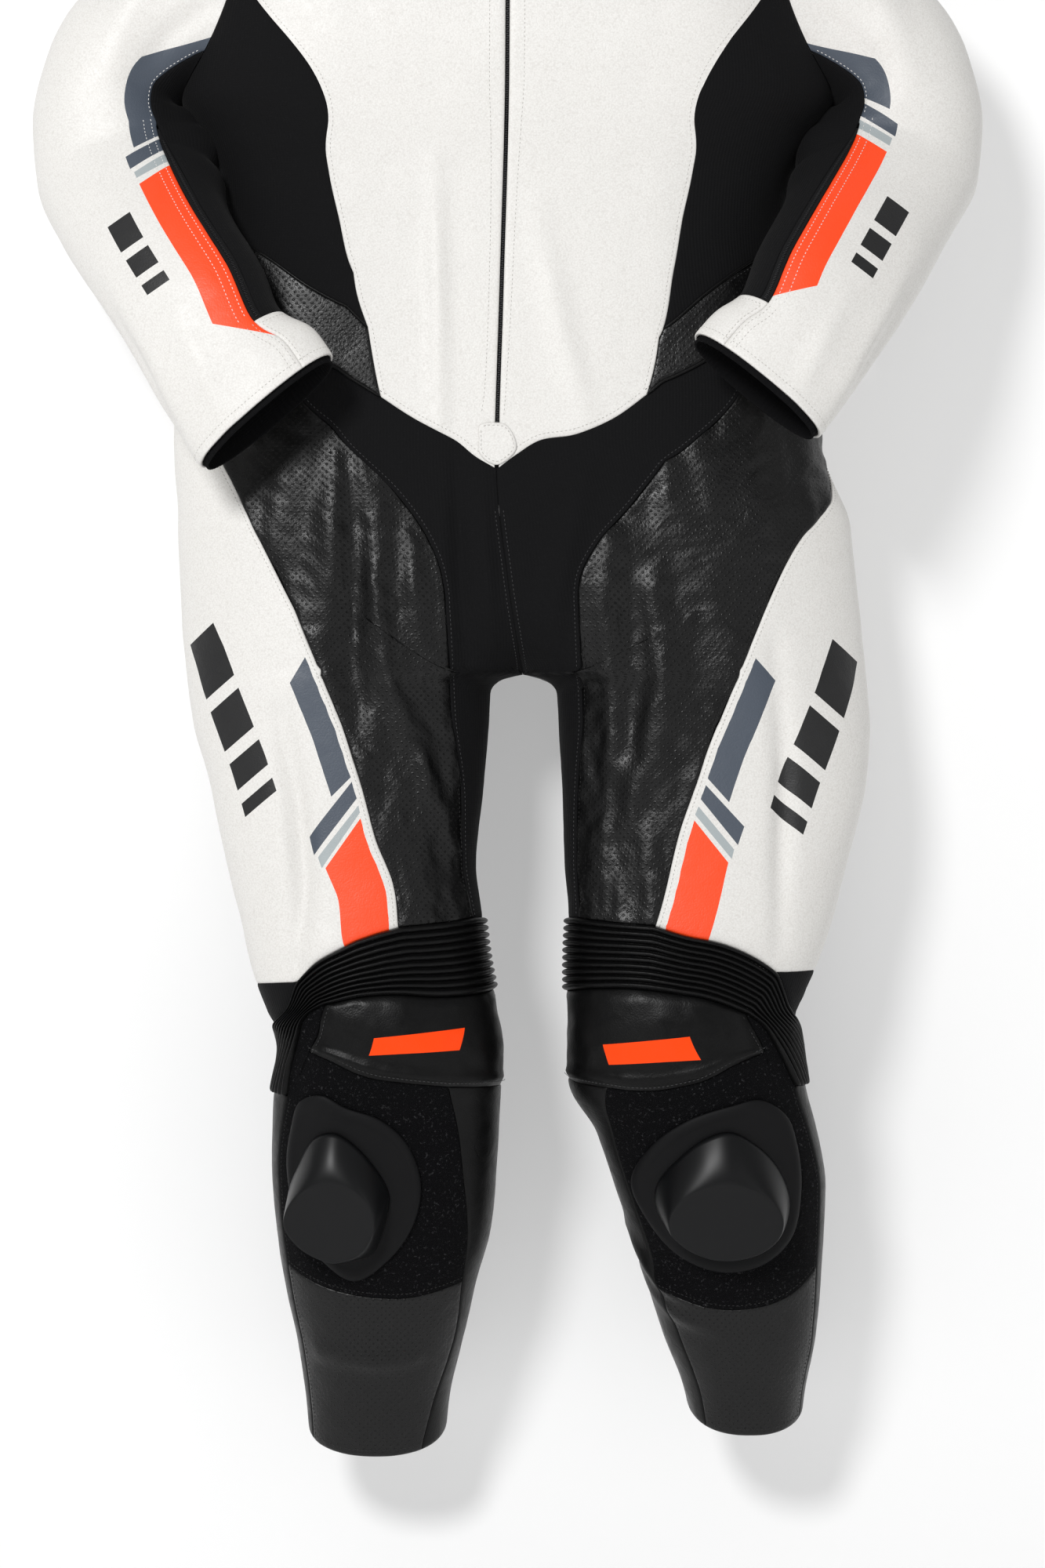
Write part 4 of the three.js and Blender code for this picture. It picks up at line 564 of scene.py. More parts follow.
def suit_seams(side):
    lines = {
        name: [(a, float(hem_height(side, a)) if z is None else z) for a, z in line]
        for name, line in LINES[side].items()
        if name != "thigh_start"
    }

    def run(controls, count, crowding=1):
        return seam(side, controls, count * FINE, crowding)

    s = {name: run(lines[name], count) for name, count in STEPS.items()}
    s["centre_front"] = run([(0, NECK_FRONT), (0, -550)], 13)
    s["centre_seat"] = run([(0, -550), (0, CROTCH)], 5)
    s["centre_back"] = run([(1, -412), (1, CROTCH)], 5)
    neck_front = [(0, NECK_FRONT), (0.085, -28), (0.2, -8), (0.31, 5), (0.5, NECK_SIDE)]
    s["neck_front"] = run(neck_front, 4)
    s["neck_back"] = run([(0.5, NECK_SIDE), (0.62, 15), (0.8, 19), (1, NECK_BACK)], 4)
    s["shoulder"] = run([(0.5, NECK_SIDE), (0.5, SHOULDER)], 3)
    s["arm_front"] = armhole(0, 0.22, 3 * FINE)
    s["arm_back"] = armhole(0.78, 1, 3 * FINE)
    s["arm_low"] = joined(
        armhole(0.22, 0.36, 3 * FINE), armhole(0.36, 0.7, 8 * FINE), armhole(0.7, 0.78, 2 * FINE)
    )
    front_corner, back_corner = tuple(s["arm_front"][-1]), tuple(s["arm_back"][0])
    s["white_edge"] = run([front_corner, *lines["white_edge"]], 8)
    s["back_edge"] = run([back_corner, (0.64, -220), (0.66, -290), (0.66, -338)], 8)
    start = float(front_u(side, LINES[side]["thigh_start"], -430))
    s["band_low_a"], s["band_low_b"], s["band_low_c"] = stretches(
        side, lines["band_bottom"], [start, 0.53], [3 * FINE, 5 * FINE, 5 * FINE]
    )
    s["band_back"] = run([(0.66, -338), (0.66, -392)], 2)
    s["waist_back"] = run([(0.66, -392), (0.78, -400), (0.9, -410), (1, -412)], 7)
    cap_z = lines["cap_top"][0][1]
    cap_low = lines["cap_inside"][1][1]
    s["inseam"] = run([(0, CROTCH), (0, KNEE_TOP)], 8)
    s["inseam_ribs"] = run([(0, KNEE_TOP), (0, cap_z)], 2)
    s["inseam_cap"] = run([(0, cap_z), (0, cap_low)], 3)
    thigh_inner = run([tuple(s["band_low_b"][0]), *lines["thigh_inner"]], 13, 0.65)
    s["thigh_inner"] = straightened(side, thigh_inner)
    thigh_outer = run([tuple(s["band_low_c"][0]), *lines["thigh_outer"]], 13)
    s["thigh_outer"] = straightened(side, thigh_outer)
    white_bottom = lines["white_bottom"][2]
    thigh_back = [(0.66, -392), (0.66, -500), (0.645, -650), (0.63, -800), (0.61, -930)]
    s["thigh_back"] = straightened(side, run([*thigh_back, white_bottom], 13), 1)
    s["ribs_top_a"] = run([(0, KNEE_TOP), tuple(s["thigh_inner"][-1])], 1)
    s["ribs_top_b"] = run([lines["thigh_inner"][-1], lines["thigh_outer"][-1]], 5)
    s["ribs_top_c"] = run(lines["ribs_top"], 4)
    s["knee_back_top"] = run([white_bottom, (0.72, -984), (0.87, -958), (1, KNEE_TOP)], 7)
    s["knee_back_low"] = run([lines["ribs_side"][-1], (0.78, -1088), (1, cap_low)], 8)
    hem_from, hem_to = lines["shin_side"][2][0], lines["shin_inside"][2][0]
    s["hem_front"] = hem(side, hem_from, hem_to, 10 * FINE)
    s["hem_back"] = hem(side, hem_from, 1 + hem_to, 11 * FINE)
    return s


seams = {side: suit_seams(side) for side in "rl"}

# The suit as a whole is made of cut pieces. Each is a thin closed shell: an outer sheet
# on the form, an inner one a leather's thickness below it, and a rim that rolls into
# the seam with the next piece.
LEATHER = 2.2
STRETCH = 1.6
CELL = 4.5
HIDDEN_CELL = 6.5
# Columns: millimetres from the seam, and how far the edge sinks in there
ROLL = ((0, 0.95), (1.2, 0.35), (3.0, 0.08))
FIRST_CELL = 5.5
SEAM_GAP = 0.12


def patch_places(top, bottom, left, right, across, down):
    def at(line, share):
        return read_at(line, np.arange(len(line)), share * (len(line) - 1))

    s, t = across[:, None, None], down[None, :, None]
    top_at, bottom_at = at(top, across)[:, None], at(bottom, across)[:, None]
    left_at, right_at = at(left, down)[None], at(right, down)[None]
    return (
        (1 - t) * top_at + t * bottom_at + (1 - s) * left_at + s * right_at
        - (1 - s) * (1 - t) * top[0] - s * (1 - t) * top[-1]
        - (1 - s) * t * bottom[0] - s * t * bottom[-1]
    )


def shares(length, cell):
    edge = [place / length for place, _ in ROLL]
    count = max(int((length - 2 * FIRST_CELL) / cell), 2)
    middle = np.linspace(FIRST_CELL / length, 1 - FIRST_CELL / length, count + 1)
    return np.concatenate([edge, middle, [1 - e for e in reversed(edge)]])


def line_length(points):
    return float(np.linalg.norm(np.diff(points, axis=0), axis=1).sum())


def arc_spread(base, turns, levels, middle):
    """Finds lengths on a surface, so that a weave or a row of holes lies evenly on it."""
    grid = base(turns[:, None], levels[None, :])
    steps = np.linalg.norm(np.diff(grid, axis=0), axis=-1)
    length = np.concatenate([np.zeros((1, len(levels))), np.cumsum(steps, axis=0)])
    zero = int(np.argmin(np.abs(turns - middle)))
    length -= length[zero]
    depth = lengths_along(grid[zero])
    order = 1 if levels[1] > levels[0] else -1

    def spread(places):
        a = np.interp(places[..., 0], turns, np.arange(len(turns)))
        b = np.interp(places[..., 1], levels[::order], np.arange(len(levels))[::order])
        i = np.minimum(a.astype(int), len(turns) - 2)
        j = np.minimum(b.astype(int), len(levels) - 2)
        p, q = a - i, b - j
        across = (
            length[i, j] * (1 - p) * (1 - q) + length[i + 1, j] * p * (1 - q)
            + length[i, j + 1] * (1 - p) * q + length[i + 1, j + 1] * p * q
        )
        return np.stack([across, -(depth[j] * (1 - q) + depth[j + 1] * q)], axis=-1)

    return spread


def body_form(side):
    def base(u, z):
        return body_base(side, u, z)

    return SimpleNamespace(
        base=base, place=lambda u, z: body_place(side, u, z), steps=(0.004, 2.0),
        spread=arc_spread(base, np.linspace(-0.5, 1.5, 161), np.linspace(40, -1440, 149), 0.25),
    )


forms = {side: body_form(side) for side in "rl"}
halves = [(side, seams[side], forms[side]) for side in "rl"]


def small_waves(points, height, size, stretch=1):
    """Soft random waves, drawn out downwards by the stretch."""
    flat = (points.reshape(-1, 3) / (size, size, size * stretch)).tolist()
    wave = np.array([noise.noise(p) for p in flat]) * height
    return wave.reshape(points.shape[:-1])


# Columns: share of the height, size and stretch
WAVES = [(1, 34, 1), (0.35, 12, 1)]
RIDGES = [(1, 17, 4), (0.4, 8, 1.6)]


def surface_at(form, a, b, waves=0.5, ridges=0):
    """The finished outer face: the form with its folds and the leather's small waves."""
    points, normal = form.place(a, b)
    lift = sum(small_waves(points, waves * share, size, drawn) for share, size, drawn in WAVES)
    if ridges:
        for share, size, drawn in RIDGES:
            lift = lift + small_waves(points, ridges * share, size, drawn)
    return points + normal * lift[..., None], normal


def mesh_object(name, verts, faces, material, smooth=True):
    mesh = bpy.data.meshes.new(name)
    mesh.from_pydata((np.asarray(verts) * MM).tolist(), [], faces)
    mesh.polygons.foreach_set("use_smooth", np.full(len(faces), smooth))
    mesh.materials.append(material)
    return link(bpy.data.objects.new(name, mesh))


def shell_mesh(name, outer, inner, uvs, material, ring=False):
    columns, rows = outer.shape[:2]
    count = columns * rows
    verts = np.concatenate([outer.reshape(-1, 3), inner.reshape(-1, 3)])
    across = np.arange(columns - (not ring))
    i, j = (g.ravel() for g in np.meshgrid(across, np.arange(rows - 1), indexing="ij"))
    k = (i + 1) % columns
    quads = np.stack([i * rows + j, i * rows + j + 1, k * rows + j + 1, k * rows + j], axis=1)
    faces = [quads, quads[:, ::-1] + count]

    def rim(a, b):
        faces.append(np.stack([a, b, b + count, a + count], axis=1))

    a, b = across * rows, (across + 1) % columns * rows
    rim(a, b)
    rim(b + rows - 1, a + rows - 1)
    if not ring:
        down = np.arange(rows - 1)
        rim(down + 1, down)
        rim((columns - 1) * rows + down, (columns - 1) * rows + down + 1)
    faces = np.concatenate(faces)
    p = [verts[faces[:, k]] - verts.mean(axis=0) for k in range(4)]
    volume = (np.cross(p[1] - p[0], p[2] - p[0]) * p[0]).sum()
    volume += (np.cross(p[2] - p[0], p[3] - p[0]) * p[0]).sum()
    if volume < 0:
        faces = faces[:, ::-1]
    made = mesh_object(name, verts, faces.tolist(), material)
    for label, uv in uvs.items():
        both = np.tile(uv.reshape(-1, 2), (2, 1)) * MM
        made.data.uv_layers.new(name=label).data.foreach_set("uv", both[faces.ravel()].ravel())
    return made


# A print runs only where the cloth faces the front: elsewhere its seam counts as far away
FACES_BACK = 0.3
FAR_AWAY = 1000


def cut_piece(name, cad_node, edges, form, thick, material, relief=None, waves=0.5,
              ridges=0, cell=CELL, edge_weights=(1, 1, 1, 1), art=None):
    """One cut piece between its top, bottom, left and right seams. edge_weights says how
    far each of them rolls in."""
    top, bottom, left, right = edges
    width = max(line_length(form.place(*line.T)[0]) for line in (top, bottom))
    height = max(line_length(form.place(*line.T)[0]) for line in (left, right))
    across, down = shares(width, cell), shares(height, cell)
    raised = np.zeros((1, 1))
    if relief and "rows" in relief:
        down = np.linspace(0, 1, relief["rows"] + 1)
    places = patch_places(top, bottom, left, right, across, down)
    points, normal = surface_at(form, places[..., 0], places[..., 1], waves, ridges)
    sink = np.zeros(points.shape[:2])
    for k, (_, depth) in enumerate(ROLL):
        rows_in = (sink[:, k], sink[:, -1 - k], sink[k], sink[-1 - k])
        for weight, row in zip(edge_weights, rows_in):
            if not (relief and "rows" in relief and len(row) == len(across)):
                np.maximum(row, depth * weight, out=row)
    if relief:
        raised = relief["height"](across[:, None], down[None, :])
    points = points + normal * (raised - sink)[..., None]
    for turned in (points, points.swapaxes(0, 1)):
        for edge, next_in in ((0, 1), (-1, -2)):
            turned[edge] += unit(turned[next_in] - turned[edge]) * SEAM_GAP
    inner = points - normal * (thick + raised)[..., None]
    uvs = {"cloth": form.spread(places)}
    if art:
        seam_points = form.base(*art["seam"].T)
        base = form.base(places[..., 0], places[..., 1])
        away = np.linalg.norm(base[:, :, None] - seam_points, axis=-1).min(axis=2)
        hidden = np.where(normal[..., 1] > FACES_BACK, FAR_AWAY, 0)
        uvs["seam"] = np.stack([away + hidden, 0 * away], axis=-1)
        uvs["front"] = base[..., [0, 2]]
    made = shell_mesh(name, points, inner, uvs, material)
    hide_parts(cad_node)
    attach(made, "suit")
    return made


# Finishes that several pieces share. Leather has a fine pebbled grain and soft creases,
# stretch cloth is a dull knit with fine ribs, and some of the leather is punched with
# small round holes in staggered rows.
def new_group(name, inputs, outputs):
    group = bpy.data.node_groups.new(name, "ShaderNodeTree")
    for label, kind, value in inputs:
        socket = group.interface.new_socket(label, in_out="INPUT", socket_type=kind)
        if value is not None:
            socket.default_value = value
    for label, kind in outputs:
        group.interface.new_socket(label, in_out="OUTPUT", socket_type=kind)
    given, out = group.nodes.new("NodeGroupInput"), group.nodes.new("NodeGroupOutput")
    return group, given.outputs, out.inputs


def add(tree, kind, links=None, **values):
    made = tree.nodes.new(kind)
    for key, value in values.items():
        setattr(made, key, value)
    for socket, source in (links or {}).items():
        if isinstance(source, bpy.types.NodeSocket):
            tree.links.new(source, made.inputs[socket])
        else:
            made.inputs[socket].default_value = source
    return made


def calc(tree, operation, *values):
    return add(tree, "ShaderNodeMath", dict(enumerate(values)), operation=operation).outputs[0]


def blend(tree, share, first, second):
    ends = {"Factor": share, "A": first, "B": second}
    return add(tree, "ShaderNodeMix", ends, data_type="RGBA").outputs[2]


def leather_grain():
    tree, given, out = new_group(
        "leather_grain",
        [("Pebble Size", "NodeSocketFloat", 0.0013), ("Depth", "NodeSocketFloat", 0.00016),
         ("Crease Depth", "NodeSocketFloat", 0.0006), ("Under", "NodeSocketVector", None)],
        [("Normal", "NodeSocketVector"), ("Crease", "NodeSocketFloat"), ("Valley Shade", "NodeSocketFloat")],
    )
    where = add(tree, "ShaderNodeTexCoord").outputs["Object"]
    scale = calc(tree, "DIVIDE", 1.0, given["Pebble Size"])
    pebbles = add(tree, "ShaderNodeTexVoronoi", {"Vector": where, "Scale": scale}, feature="SMOOTH_F1")
    creases = add(tree, "ShaderNodeTexNoise",
                  {"Vector": where, "Scale": 55.0, "Detail": 6.0, "Roughness": 0.62, "Distortion": 1.0})
    broad = add(tree, "ShaderNodeBump", {"Height": creases.outputs["Fac"], "Strength": 0.55,
                                         "Distance": given["Crease Depth"], "Normal": given["Under"]})
    fine = add(tree, "ShaderNodeBump", {"Height": pebbles.outputs["Distance"], "Strength": 0.7,
                                        "Distance": given["Depth"], "Normal": broad.outputs["Normal"]})
    fine.invert = True
    tree.links.new(fine.outputs["Normal"], out["Normal"])
    tree.links.new(creases.outputs["Fac"], out["Crease"])
    # Where the grain lies low: the leathers darken their colour there as painted shade
    tree.links.new(pebbles.outputs["Distance"], out["Valley Shade"])
    return tree


def uv_parts(tree, label):
    spread = add(tree, "ShaderNodeUVMap", uv_map=label).outputs["UV"]
    return add(tree, "ShaderNodeSeparateXYZ", {"Vector": spread}).outputs


def stretch_knit():
    tree, given, out = new_group(
        "stretch_knit",
        [("Rib Width", "NodeSocketFloat", 0.0014), ("Depth", "NodeSocketFloat", 0.0003)],
        [("Normal", "NodeSocketVector"), ("Rib", "NodeSocketFloat")],
    )
    apart = uv_parts(tree, "cloth")
    ribs = calc(tree, "PINGPONG", calc(tree, "DIVIDE", apart["X"], given["Rib Width"]), 1.0)
    rows = calc(tree, "PINGPONG", calc(tree, "DIVIDE", apart["Y"], given["Rib Width"]), 0.7)
    both = calc(tree, "MULTIPLY_ADD", rows, 0.5, ribs)
    bump = add(tree, "ShaderNodeBump", {"Height": both, "Strength": 0.7, "Distance": given["Depth"]})
    tree.links.new(bump.outputs["Normal"], out["Normal"])
    tree.links.new(both, out["Rib"])
    return tree


def punched_holes():
    tree, given, out = new_group(
        "punched_holes",
        [("Pitch", "NodeSocketFloat", 0.0066), ("Radius", "NodeSocketFloat", 0.00075)],
        [("Hole", "NodeSocketFloat"), ("Rim", "NodeSocketFloat")],
    )
    apart = uv_parts(tree, "cloth")
    half_pitch = calc(tree, "MULTIPLY", given["Pitch"], 0.5)
    row = calc(tree, "DIVIDE", apart["Y"], half_pitch)
    odd = calc(tree, "FLOORED_MODULO", calc(tree, "FLOOR", row), 2.0)
    column = calc(tree, "MULTIPLY_ADD", odd, 0.5, calc(tree, "DIVIDE", apart["X"], given["Pitch"]))
    across, down = (calc(tree, "SUBTRACT", calc(tree, "FRACT", at), 0.5) for at in (column, row))
    x = calc(tree, "MULTIPLY", across, given["Pitch"])
    y = calc(tree, "MULTIPLY", down, half_pitch)
    squares = calc(tree, "ADD", calc(tree, "MULTIPLY", x, x), calc(tree, "MULTIPLY", y, y))
    share = calc(tree, "DIVIDE", calc(tree, "SQRT", squares), given["Radius"])
    for label, outer, inner in (("Hole", 1.1, 0.7), ("Rim", 2.0, 1.1)):
        ring = {"Value": share, "From Min": outer, "From Max": inner}
        tree.links.new(add(tree, "ShaderNodeMapRange", ring).outputs[0], out[label])
    return tree


def printed_stripe():
    """A stripe between two lengths from a seam, cut off along two lines seen from the front."""
    tree, given, out = new_group(
        "printed_stripe",
        [("Near", "NodeSocketFloat", 0.0), ("Far", "NodeSocketFloat", 0.02),
         ("Upper Cut", "NodeSocketVector", None), ("Lower Cut", "NodeSocketVector", None)],
        [("Mask", "NodeSocketFloat")],
    )
    away = uv_parts(tree, "seam")["X"]
    seen = add(tree, "ShaderNodeUVMap", uv_map="front").outputs["UV"]
    front = add(tree, "ShaderNodeVectorMath", {0: seen, 1: (0, 0, 1)}, operation="ADD").outputs[0]
    past = calc(tree, "GREATER_THAN", away, given["Near"])
    short = calc(tree, "LESS_THAN", away, given["Far"])
    mask = calc(tree, "MULTIPLY", past, short)
    for cut in ("Upper Cut", "Lower Cut"):
        side = add(tree, "ShaderNodeVectorMath", {0: front, 1: given[cut]}, operation="DOT_PRODUCT")
        mask = calc(tree, "MULTIPLY", mask, calc(tree, "GREATER_THAN", side.outputs["Value"], 0.0))
    tree.links.new(mask, out["Mask"])
    return tree


grain, knit, holes, stripe = leather_grain(), stretch_knit(), punched_holes(), printed_stripe()


def finish(name, colour, roughness, **sockets):
    made = bpy.data.materials.new(name)
    made.use_nodes = True
    shader = made.node_tree.nodes["Principled BSDF"]
    shader.inputs["Base Color"].default_value = (*colour, 1)
    shader.inputs["Roughness"].default_value = roughness
    for label, value in sockets.items():
        shader.inputs[label.replace("_", " ").title().replace("Ior", "IOR")].default_value = value
    return made, made.node_tree, shader


def use_group(tree, group, **values):
    made = add(tree, "ShaderNodeGroup", node_tree=group)
    for label, value in values.items():
        made.inputs[label.replace("_", " ").title()].default_value = value
    return made


# The colour inside the punched holes: painted shade, as dark as the inside of a hole
HOLE_SHADE_COLOUR = (0.0006, 0.0006, 0.0006, 1)
RIM_SHARE = 0.2
# How far the roughness goes down and up from its middle, as the leather is worn
WORN = (-0.07, 0.1)


def leather(name, colour, valley_shade, roughness, pebble=0.0013, depth=0.00016, crease=0.0006,
            punched=None, **sockets):
    """Grained leather, darkened in the valleys of its grain as painted shade, and punched with holes or
    not, whose insides are painted dark as shade.
    """
    made, tree, shader = finish(name, colour, roughness, **sockets)
    hide = use_group(tree, grain, pebble_size=pebble, depth=depth, crease_depth=crease)
    worn = add(tree, "ShaderNodeMapRange",
               {"Value": hide.outputs["Crease"], "From Min": 0.3, "From Max": 0.7,
                "To Min": roughness + WORN[0], "To Max": roughness + WORN[1]})
    tree.links.new(worn.outputs["Result"], shader.inputs["Roughness"])
    # Painted shade: the colour darkens towards the valley colour in the low places of the grain
    colour_out = blend(tree, hide.outputs["Valley Shade"], (*colour, 1), (*valley_shade, 1))
    if punched:
        pattern = use_group(tree, holes, pitch=punched[0], radius=punched[1])
        rim = calc(tree, "MULTIPLY", pattern.outputs["Rim"], RIM_SHARE)
        pushed = calc(tree, "SUBTRACT", rim, pattern.outputs["Hole"])
        under = add(tree, "ShaderNodeBump", {"Height": pushed, "Strength": 1.0, "Distance": 0.0007})
        # Painted shade: the holes are darkened in the colour
        colour_out = blend(tree, pattern.outputs["Hole"], colour_out, HOLE_SHADE_COLOUR)
    else:
        under = add(tree, "ShaderNodeNewGeometry")
    tree.links.new(under.outputs["Normal"], hide.inputs["Under"])
    tree.links.new(colour_out, shader.inputs["Base Color"])
    tree.links.new(hide.outputs["Normal"], shader.inputs["Normal"])
    return made, tree, shader, colour_out


def cloth(name, colour, roughness, rib=0.0014, depth=0.0003, **sockets):
    made, tree, shader = finish(name, colour, roughness, **sockets)
    fabric = use_group(tree, knit, rib_width=rib, depth=depth)
    tree.links.new(fabric.outputs["Normal"], shader.inputs["Normal"])
    return made, tree, shader


# Seams are sewn with short stitches of thread, each a small lens that dips in at both
# ends, set in a row beside the seam.
def beside(form, line, offset):
    """The line moved sideways on the surface, by so many millimetres."""
    a, b = line.T
    step_a, step_b = form.steps
    along_a = (form.base(a + step_a, b) - form.base(a - step_a, b)) / (2 * step_a)
    along_b = (form.base(a, b + step_b) - form.base(a, b - step_b)) / (2 * step_b)
    way = unit(np.gradient(form.base(a, b), axis=0))
    side = unit(np.cross(np.cross(along_a, along_b), way)) * offset
    e, f, g = (along_a**2).sum(-1), (along_a * along_b).sum(-1), (along_b**2).sum(-1)
    p, q = (along_a * side).sum(-1), (along_b * side).sum(-1)
    det = e * g - f * f
    return np.stack([a + (p * g - q * f) / det, b + (q * e - p * f) / det], axis=-1)


def rows_beside(form, *lines):
    """Rows for sew. Columns: line, how far beside it, and the cloth's height if it has one"""
    return [
        (form, beside(form, line, offset), *(raised or (0,))) for line, offset, *raised in lines
    ]


# Where along a stitch its thread is thickest, and how deep it dips in
THICKEST = (0.28, 0.72)
DIP = 0.3


def sew(name, rows, thread, length=2.6, gap=1.1, width=0.55, height=0.3):
    """rows lists the form, the line and the height of the cloth there over the form."""
    verts, faces = [], []
    for form, line, raised in rows:
        points, normal = surface_at(form, *line.T)
        points = points + normal * (raised + 0.05)
        reach = lengths_along(points)
        starts = np.arange(gap, reach[-1] - length, length + gap)
        first, end = (read_at(points, reach, at) for at in (starts, starts + length))
        up = unit(read_at(normal, reach, starts + length / 2))
        side = unit(np.cross(up, end - first)) * width / 2
        for k in range(len(starts)):
            corners = [first[k] - up[k] * DIP]
            for share in THICKEST:
                middle = first[k] + (end[k] - first[k]) * share
                corners += [middle + side[k], middle + up[k] * height]
                corners += [middle - side[k], middle - up[k] * DIP]
            corners.append(end[k] - up[k] * DIP)
            o = len(verts)
            verts += corners
            for m in range(4):
                n = (m + 1) % 4
                faces.append((o, o + 1 + n, o + 1 + m))
                faces.append((o + 1 + m, o + 1 + n, o + 5 + n, o + 5 + m))
                faces.append((o + 9, o + 5 + m, o + 5 + n))
    made = mesh_object(name, verts, faces, thread)
    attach(made, "suit")
    return made


# A direction that no rope runs in
ACROSS = (0.13, 0.97, 0.2)


def tube(name, points, radius, material, sides=8):
    """A round rope of cloth along a line, with rounded ends."""
    way = unit(np.gradient(points, axis=0))
    across = unit(np.cross(way, np.broadcast_to(ACROSS, way.shape)))
    up = np.cross(across, way)
    angle = np.linspace(0, 2 * math.pi, sides, endpoint=False)[None, :, None]
    size = np.full(len(points), float(radius))
    size[[0, -1]] *= 0.3
    size[[1, -2]] *= 0.85
    ring = np.cos(angle) * across[:, None] + np.sin(angle) * up[:, None]
    verts = (points[:, None] + ring * size[:, None, None]).reshape(-1, 3)
    last_ring = (len(points) - 1) * sides
    starts = np.arange(0, last_ring, sides)
    i, j = (g.ravel() for g in np.meshgrid(starts, np.arange(sides), indexing="ij"))
    m = (j + 1) % sides
    faces = np.stack([i + j, i + m, i + sides + m, i + sides + j], axis=1).tolist()
    faces += [list(range(sides))[::-1], [last_ring + k for k in range(sides)]]
    made = mesh_object(name, verts, faces, material)
    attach(made, "suit")
    return made


WHITE = (0.8, 0.79, 0.765)
# The white's valley colour is painted shade in the grain's low places
WHITE_VALLEY_SHADE = (0.62, 0.6, 0.57)
white_leather = leather("white_leather", WHITE, WHITE_VALLEY_SHADE, 0.5, depth=0.00022)[0]
light_thread = finish("light_thread", (0.5, 0.49, 0.46), 0.7)[0]
grey_thread = finish("grey_thread", (0.05, 0.05, 0.052), 0.7)[0]
black_thread = finish("black_thread", (0.008, 0.008, 0.008), 0.6)[0]

# The fronts: two pieces of white leather from the neck and shoulders to the V over the
# crotch. Their edges are turned in along the zip and the V, and topstitched there and
# along the sides. The zip's stitch line is in x and z.
ZIP_HALF = 1.7
ZIP_STITCH = {"r": [(-19, -60), (-20, -227), (-24, -480), (-27, -505)],
              "l": [(9, -60), (9, -227), (-6, -480), (-8, -505)]}
for side, s, form in halves:
    fronts = cut_piece(
        f"front_{side}", f"front_panel_{side}",
        (joined(s["neck_front"], s["shoulder"]), s["vee"],
         beside(form, s["centre_front"], ZIP_HALF),
         joined(s["arm_front"], s["white_edge"], s["band_front"])),
        form, LEATHER, white_leather, edge_weights=(1, 1.6, 1.6, 1),
    )
    by_zip = [(float(front_u(side, x, z)) * U_LENGTH, z) for x, z in ZIP_STITCH[side]]
    beside_seams = rows_beside(form, (s["vee"], 4.5), (s["white_edge"], -4), (s["band_front"], -4))
    sew(f"front_stitches_{side}", [(form, smooth_path(by_zip, 90) / (U_LENGTH, 1), 0), *beside_seams],
        light_thread)

# The stretch sides: one piece of dull black knitted cloth under each arm, down to the hip
# band. It is sewn in between the front and the back, and gives as the body bends.
stretch_cloth = cloth("stretch_cloth", (0.0045, 0.0045, 0.005), 0.85, specular_ior_level=0.12,
                      sheen_weight=0.02)[0]
for side, s, form in halves:
    sides = cut_piece(
        f"side_{side}", f"side_panel_{side}",
        (s["arm_low"], s["band_top"], s["white_edge"], s["back_edge"]),
        form, STRETCH, stretch_cloth,
    )

# The hip bands: a strip of punched black leather over each hip, from the front to the
# back. Its upper and lower seams are piped with a cord in black leather.
PIPING = 1.35
PIPING_LIFT = 0.3
BLACK = (0.0042, 0.0042, 0.0044)
# The black's valley colour is painted shade in the grain's low places
BLACK_VALLEY_SHADE = (0.002, 0.002, 0.002)
punched_leather = leather("punched_leather", BLACK, BLACK_VALLEY_SHADE, 0.35, depth=0.0002, crease=0.0013,
                          punched=(0.0066, 0.00068), specular_ior_level=0.3)[0]
black_leather = leather("black_leather", BLACK, BLACK_VALLEY_SHADE, 0.35, crease=0.0011,
                        specular_ior_level=0.15)[0]
for side, s, form in halves:
    low = joined(s["band_low_a"], s["band_low_b"], s["band_low_c"])
    band = cut_piece(
        f"band_{side}", f"hip_band_{side}", (s["band_top"], low, s["band_front"], s["band_back"]),
        form, LEATHER, punched_leather,
    )
    for label, line in (("upper", s["band_top"]), ("lower", low)):
        points, normal = surface_at(form, *line.T)
        pipe = tube(f"{label}_piping_{side}", points + normal * PIPING_LIFT, PIPING, black_leather)
    sew(f"band_stitches_{side}", rows_beside(form, (s["band_top"], -4), (low, 4)), grey_thread)

# The crotch and the inside of each leg: one stretch piece a side, joined by a double
# seam down the middle and by a short seam across it.
for side, s, form in halves:
    crotch = cut_piece(
        f"crotch_{side}", f"pelvis_{side}",
        (joined(s["vee"], s["band_low_a"]), s["ribs_top_a"], joined(s["centre_seat"], s["inseam"]),
         s["thigh_inner"]),
        form, STRETCH, stretch_cloth,
    )
    rows = rows_beside(form, (s["centre_seat"][FINE:], 3.5), (s["thigh_inner"], -3.5))
    sew(f"crotch_stitches_{side}", rows, grey_thread)

# The back: one piece of white leather from the shoulders to the waist, sewn to both
# fronts and both sides. The photo hides it, so it is plain.
r, l = seams["r"], seams["l"]


def other_side(line):
    return np.stack([2 - line[:, 0], line[:, 1]], axis=-1)


waist = joined(r["waist_back"], other_side(l["waist_back"])[::-1])
back = cut_piece(
    "back", "back_panel",
    (joined(r["shoulder"][::-1], r["neck_back"], other_side(l["neck_back"])[::-1],
            other_side(l["shoulder"])),
     waist,
     joined(r["arm_back"][::-1], r["back_edge"], r["band_back"]),
     other_side(joined(l["arm_back"][::-1], l["back_edge"], l["band_back"]))),
    forms["r"], LEATHER, white_leather, cell=HIDDEN_CELL,
)
right_rows = rows_beside(forms["r"], (waist, 4), (r["back_edge"], 4))
sew("back_stitches", [*right_rows, *rows_beside(forms["l"], (l["back_edge"], 4))], light_thread)

